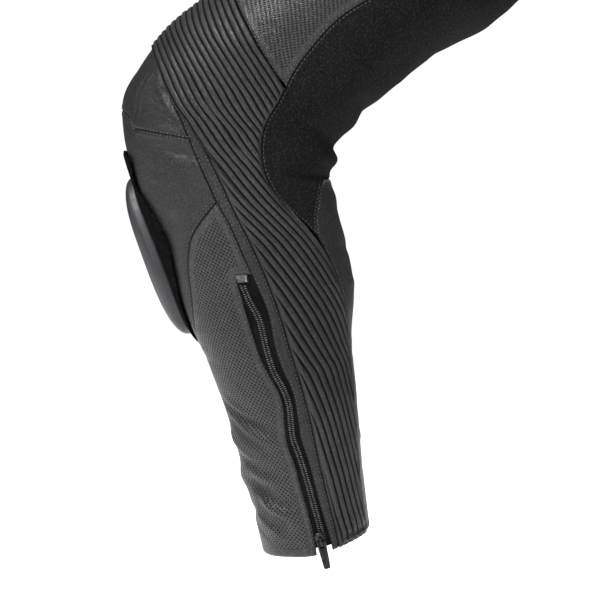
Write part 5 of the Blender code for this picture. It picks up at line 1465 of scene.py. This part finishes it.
def rounded(count, power):
    """The superellipse |x|^power + |y|^power = 1, as cosine and sine raised to 2 / power."""
    a = np.linspace(0, 2 * math.pi, count, endpoint=False)
    return (np.sign(f) * np.abs(f) ** (2 / power) for f in (np.cos(a), np.sin(a)))


def tube(rings):
    """Faces round closed rings, with a flat cap on the first and the last."""
    rows, count = rings.shape[:2]
    faces = quads(rows, count, wrap=True)[:, ::-1].tolist()
    return faces + [list(range(count))[::-1], list(range((rows - 1) * count, rows * count))]


# the slider's axes: across, along the zip and out of the leather
origin, out = (v[0] for v in surface(*np.array([SLIDER_AT]).T))
along = surface(*np.array([SLIDER_ABOVE]).T)[0][0] - origin
along = unit(along - out * (along @ out))
across = np.cross(along, out)
axes = np.array([across, along, out])

x, y = rounded(SLIDER_SPOKES, SLIDER_POWER)
share, rise = (np.array(SLIDER_PROFILE)[:, k, None] for k in (0, 1))
body = np.stack([(SLIDER_HALF[0] + SLIDER_TAPER * y) * x * MM * share, SLIDER_HALF[1] * y * MM * share,
                 SLIDER_LIFT + SLIDER_THICK * rise + 0 * x], -1)
t = np.linspace(0, math.pi, BRIDGE_RINGS)
path = np.stack([0 * t, BRIDGE_SPAN * np.sign(np.cos(t)) * np.abs(np.cos(t)) ** 0.6,
                 SLIDER_LIFT + SLIDER_THICK - 0.5 * MM + BRIDGE_RISE * np.sin(t) ** 0.5], 1)
x_way = np.array([1.0, 0.0, 0.0])
a = np.linspace(0, 2 * math.pi, BRIDGE_SPOKES, endpoint=False)[:, None]
bridge = (path[:, None] + BRIDGE_BAR[0] * np.cos(a) * x_way
          + BRIDGE_BAR[1] * np.sin(a) * np.cross(unit(np.gradient(path, axis=0)), x_way)[:, None])
slider_points = np.concatenate([body.reshape(-1, 3), bridge.reshape(-1, 3)])
slider_faces = tube(body) + [[n + body.size // 3 for n in face] for face in tube(bridge)]

x, y = rounded(PULL_SPOKES, PULL_POWER)
share, half = (np.array(PULL_RINGS)[:, k, None] for k in (0, 1))
reach = np.where(y > 0, PULL_ABOVE * y, PULL_BELOW * y)
eye = np.stack(list(rounded(PULL_SPOKES, EYE_POWER)), -1) * EYE_HALF
outer = np.stack([PULL_HALF * x * (1 + PULL_TAPER * np.minimum(reach, 0) / PULL_BELOW), reach], -1)
plate = eye + (outer - eye) * share[..., None]
half = half * (1 + GRIP_SWELL * np.clip((GRIP_TOP - plate[..., 1]) / GRIP_SLOPE, 0, 1))
pull = np.concatenate([np.dstack([plate, half]), np.dstack([plate, -half])[::-1]])
pull = (pull + (0, EYE_MIDDLE, 0)) * MM
index = np.arange(pull.shape[0] * pull.shape[1]).reshape(pull.shape[:2])
index = np.concatenate([index, index[:1]])
pull_faces = cells_of(np.concatenate([index, index[:, :1]], 1))
up = unit(UPWARD - across * (UPWARD @ across))
pull_axes = np.array([across, up, np.cross(across, up)])

for name, points, faces, node, body_name in (
        ("zip_slider_cast", origin + slider_points @ axes, slider_faces, "zip_slider", "root"),
        ("zip_pull_cast", origin + out * PIVOT_HEIGHT + pull.reshape(-1, 3) @ pull_axes, pull_faces, "zip_pull",
         "{}_pull")):
    for side, piece in on_both_legs(name, points, faces, dark_zinc):
        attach(piece, body_name.format(side))
        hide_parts(f"{side}_{node}")
print("slider faces:", len(slider_faces), "pull faces:", len(pull_faces))

# %% [markdown]
# ## Small laid-on pieces
# A leather tab covers the zip's upper end. The hook-and-loop patch under the knee slider, the fly placket and
# the waist tab are flat pieces sewn on top of the panels. Each is a small grid lifted off the form, with its
# edge turned down.

# %% Laid-on pieces
TAB_CORNERS = ((245.5, 2.1), (245.5, 4.1), (252.5, 4.2), (252.5, 1.9))
TAB_RISE, TAB_DROP, TAB_THICK, TAB_EDGE = 0.9 * MM, 1.0 * MM, 1.2 * MM, 1.0


def laid_on(names, level, turn, rise, drop, edge, look, thick, sampler=surface):
    """A grid lifted by rise, less drop x exp(-(distance to its edge / edge)^2); all in metres but edge, in mm."""
    base, out = sampler(level, turn)
    away = edge_distance(base, np.concatenate([base[0, :-1], base[:-1, -1], base[-1, :0:-1], base[:0:-1, 0]]))
    height = rise - drop * np.exp(-(away / edge) ** 2) + crease_height(level, np.abs(turn))
    points = base + out * height[..., None]
    flat = flat_place(level, np.abs(turn))
    flat[..., 0] *= np.where(turn < 0, -1, 1)
    for name in names:
        obj = add_mesh(name + "_sheet", points.reshape(-1, 3), quads(*level.shape), look, flat.reshape(-1, 2),
                       {"edge": away})
        solid(obj, thick, look)
        declare(obj, name)


u, v = np.meshgrid(spread(8.0, 4), spread(7.0, 4))
corner = np.array(TAB_CORNERS, float)
tab = sum(share[..., None] * place
          for share, place in zip(((1 - v) * (1 - u), (1 - v) * u, v * u, v * (1 - u)), corner))
laid_on(("right_zip_end_tab", "left_zip_end_tab"), tab[..., 0], tab[..., 1], TAB_RISE, TAB_DROP, TAB_EDGE,
        pale_grey_leather, TAB_THICK)

STOP_PLACE, STOP_SIZE = ((246.2, 2.45), (251.0, 2.25)), (5.6 * MM, 1.7 * MM)       # cast stop on the tab
origin, out = surface(*np.array(STOP_PLACE).T)
bar, bar_faces = capsule(*STOP_SIZE, sides=8)
points, faces = carried(bar, bar_faces, origin.mean(axis=0)[None] + out[:1] * (TAB_RISE + 0.3 * MM),
                        unit(origin[1:] - origin[:1]), out[:1])
for _, stop in on_both_legs("zip_stop", points, faces, bright_zinc):
    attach(stop, "root")

# %% [markdown]
# The front pieces cross the centre line, so turns below 0 are read on the left half by mirroring.

# %% Fly placket and waist tab
FLY_HALF_TURN, FLY_LEVELS = 5.2, (884, 968)
TAB_TURNS, TAB_LEVELS = (-6.0, 9.0), (977, 1008)
LAID_RISE, LAID_DROP, LAID_THICK, LAID_EDGE = 2.9 * MM, 0.9 * MM, 1.6 * MM, 1.4
WAIST_GIRTH = 870.0


def centre_front(level, turn):
    """The surface at |turn|, with x turned over where the turn is below 0."""
    p, out = surface(level, np.abs(turn))
    flip = np.where(np.asarray(turn)[..., None] < 0, np.array([-1, 1, 1]), 1)
    return p * flip, out * flip


for name, (low, high), (first, last) in (("fly_placket", FLY_LEVELS, (-FLY_HALF_TURN, FLY_HALF_TURN)),
                                         ("waist_tab", TAB_LEVELS, TAB_TURNS)):
    width = (last - first) / 100 * WAIST_GIRTH
    u, v = np.meshgrid(spread(width, round(width / 4)), spread(float(high - low), round((high - low) / 4)))
    laid_on((name,), low + (high - low) * v, first + (last - first) * u, LAID_RISE, LAID_DROP, LAID_EDGE,
            plain_leather, LAID_THICK, centre_front)

# %% [markdown]
# The rows that were collected panel by panel, and two more that cross the thigh, are turned into one mesh of
# thread for each leg.

# %% Topstitching of each leg
THIGH_LINE = ((480, 6.6), (470, 1.7), (462, 0.0), (456, -1.1), (448, -2.8), (441, -4.2))
THIGH_ROW_SHIFT = 1.8 * MM
for shift in (-THIGH_ROW_SHIFT, THIGH_ROW_SHIFT):
    sewn.append(stitch_row(beside(smooth_route(THIGH_LINE), shift), THREAD_RISE))
points, faces = carried(one_stitch, stitch_faces, *(np.concatenate([row[k] for row in sewn]) for k in range(3)))
for _, stitches in on_both_legs("topstitching", points, faces, thread):
    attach(stitches, "root")
print("stitches on a leg:", len(faces) // len(stitch_faces), "triangles", len(faces))

# %% [markdown]
# ## Knee slider
# The slider is a block of hard urethane, domed and as big as a hand, held on by hook-and-loop. Its outline is a
# superellipse, which lies between an ellipse and a rectangle. A profile of shares and heights is carried
# round it. The patch beneath is a polar grid over a drawn outline.

# %% Knee slider and its patch
PATCH_OUTLINE = ((346, 19.5), (326, 21.0), (314, 18.2), (298, 16.4), (281, 15.7), (266, 16.7), (248, 18.3),
                 (230, 20.8), (208, 24.0), (192, 30.0), (204, 38.0), (240, 41.0), (288, 41.2),
                 (330, 39.0), (348, 33.0), (352, 25.0))
PATCH_RISE, PATCH_THICK, PATCH_CLEAR = 2.5 * MM, 1.6 * MM, 0.8 * MM
PATCH_DROP, PATCH_EDGE = 0.9 * MM, 1.2              # its edge is pressed down by this much, over this many mm
PATCH_SHARES = np.array([0.02, 0.2, 0.4, 0.55, 0.68, 0.78, 0.86, 0.91, 0.945, 0.965, 0.98, 0.99, 1.0])
PUCK_CENTRE, PUCK_HALF, PUCK_SLANT = (270, 31.0), (66, 44), math.radians(6)
PUCK_THICK, PUCK_POWER, PUCK_SPOKES, PUCK_RINGS = 17 * MM, 2.5, 120, 64
PUCK_PROFILE = (
    # share of the outline, share of the height
    (0.02, 0.0), (0.5, 0.0), (0.93, 0.0), (0.985, 0.015), (1.0, 0.07), (1.0, 0.20), (0.992, 0.235), (1.0, 0.27),
    (1.0, 0.38), (0.994, 0.47), (0.975, 0.57), (0.94, 0.66), (0.88, 0.76), (0.78, 0.86), (0.65, 0.93),
    (0.5, 0.965), (0.35, 0.985), (0.18, 0.997), (0.02, 1.0),
)

def polar_faces(rows, count):
    """Quads between rings that wrap round, and a fan of triangles at each pole, numbered after the rings."""
    k = np.arange(count)
    j, top, pole = (k + 1) % count, (rows - 1) * count, np.full(count, rows * count)
    return (quads(rows, count, wrap=True).tolist() + np.stack([j, k, pole], 1).tolist(),
            np.stack([top + k, top + j, pole + 1], 1).tolist())


outline = smooth_route([*PATCH_OUTLINE, PATCH_OUTLINE[0]], 3 * MM)[:-1]
heart = outline.mean(axis=0)
patch = heart + (outline - heart) * PATCH_SHARES[:, None, None]
base, out = surface(patch[..., 0], patch[..., 1])
away = np.linalg.norm(base - base[-1], axis=2) / MM
points = base + out * (PATCH_RISE - PATCH_DROP * np.exp(-(away / PATCH_EDGE) ** 2))[..., None]
verts = np.append(points.reshape(-1, 3), points[0].mean(axis=0)[None], axis=0)
flat = np.append(flat_place(patch[..., 0], patch[..., 1]).reshape(-1, 2), flat_place(*heart[:, None])[:1], axis=0)
for side, patch_sheet in on_both_legs("slider_patch_sheet", verts, polar_faces(*patch.shape[:2])[0], loop_mat,
                                      flat, {"edge": np.append(away.ravel(), away[0].mean())}):
    solid(patch_sheet, PATCH_THICK, loop_mat)
    declare(patch_sheet, f"{side}_slider_patch")

profile = np.array(PUCK_PROFILE)
run = np.concatenate([[0], np.cumsum(np.linalg.norm(np.diff(profile * (3.0, 1.0), axis=0), axis=1))])
profile = smooth_rows(np.linspace(0, run[-1], PUCK_RINGS), run, profile)
angle = np.linspace(0, 2 * math.pi, PUCK_SPOKES, endpoint=False)
c, s = np.cos(angle), np.sin(angle)
size = (np.abs(c) ** PUCK_POWER + np.abs(s) ** PUCK_POWER) ** (-1 / PUCK_POWER)
lengthwise, crosswise = (PUCK_HALF[0] * size * c * profile[:, :1], PUCK_HALF[1] * size * s * profile[:, :1])
level = PUCK_CENTRE[0] + lengthwise * math.cos(PUCK_SLANT) - crosswise * math.sin(PUCK_SLANT)
turn = PUCK_CENTRE[1] + (lengthwise * math.sin(PUCK_SLANT) + crosswise * math.cos(PUCK_SLANT)) / per_turn
base, out = surface(level, turn)
points = base + out * (PATCH_RISE + PATCH_CLEAR + PUCK_THICK * profile[:, 1:])[..., None]
verts = np.concatenate([points.reshape(-1, 3), points[0].mean(axis=0)[None], points[-1].mean(axis=0)[None]])
faces = [face[::-1] for fan in polar_faces(*points.shape[:2]) for face in fan]      # its rings run inwards on top
for side, slider in on_both_legs("knee_slider_block", verts, faces, slider_plastic):
    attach(slider, "root")
    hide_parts(f"{side}_knee_slider")
print("slider rings:", len(points))
snap = bpy.data.objects["waist_snap"]
snap.data.materials.clear()
snap.data.materials.append(nickel)

# %% [markdown]
# ## Light and floor
# Dark leather shows its shape by its gloss, so each lamp is placed where one surface mirrors it: a strong key
# light over the front draws the tops of the ribs, two low ones the shin and the knee, and two wide ones fill the
# far side and the back. A little light comes from everywhere. The floor is matt and glows a little, as paper
# that is lit from below does, so that the dark piece stands on white.

# %% Stage
FLOOR_LEVEL, FLOOR_HALF = -0.95, 1.8
SOFT_LIGHT, PAPER_WHITE, FLOOR_GLOW = 0.12, 1.02, 0.92
world = bpy.data.worlds.new("soft studio")
world.use_nodes = True
seen_directly = add(world.node_tree, "LightPath", output="Is Camera Ray")
strength = add(world.node_tree, "MapRange", {0: seen_directly, 3: SOFT_LIGHT, 4: PAPER_WHITE})
fill(world.node_tree.nodes["Background"], {"Strength": strength, "Color": "#ffffff"})
bpy.context.scene.world = world

corners = np.array([[-1, -1, 0], [1, -1, 0], [1, 1, 0], [-1, 1, 0]]) * FLOOR_HALF + (0, 0, FLOOR_LEVEL)
floor = add_mesh("floor", corners, [[0, 1, 2, 3]], finish(
    new_material("matt white floor")[0], Base_Color="#f4f4f4", Roughness=0.9, Emission_Color="#ffffff",
    Emission_Strength=FLOOR_GLOW))

LIGHTS = {
    # name: (azimuth deg, elevation deg, distance m, size m, watts), seen from the middle of the trousers
    "key": (10, 48, 2.0, 0.8, 58),
    "front": (42, 20, 2.0, 0.6, 10),
    "left": (-25, 12, 2.0, 0.6, 5),
    "fill": (80, 55, 2.2, 1.6, 12),
    "back": (215, 40, 2.2, 1.5, 12),
}
LIT_PLACE = np.array([0.0, -0.1, -0.45])
for name, (azimuth, elevation, distance, size, watts) in LIGHTS.items():
    a, e = math.radians(azimuth), math.radians(elevation)
    light = bpy.data.lights.new(name, "AREA")
    light.shape, light.size, light.energy = "DISK", size, watts
    lamp = bpy.data.objects.new(name, light)
    towards = np.array([math.sin(a) * math.cos(e), -math.cos(a) * math.cos(e), math.sin(e)])
    lamp.location = LIT_PLACE + distance * towards
    lamp.rotation_euler = (math.pi / 2 - e, 0, a)
    bpy.context.scene.collection.objects.link(lamp)
print("lights:", ", ".join(LIGHTS))
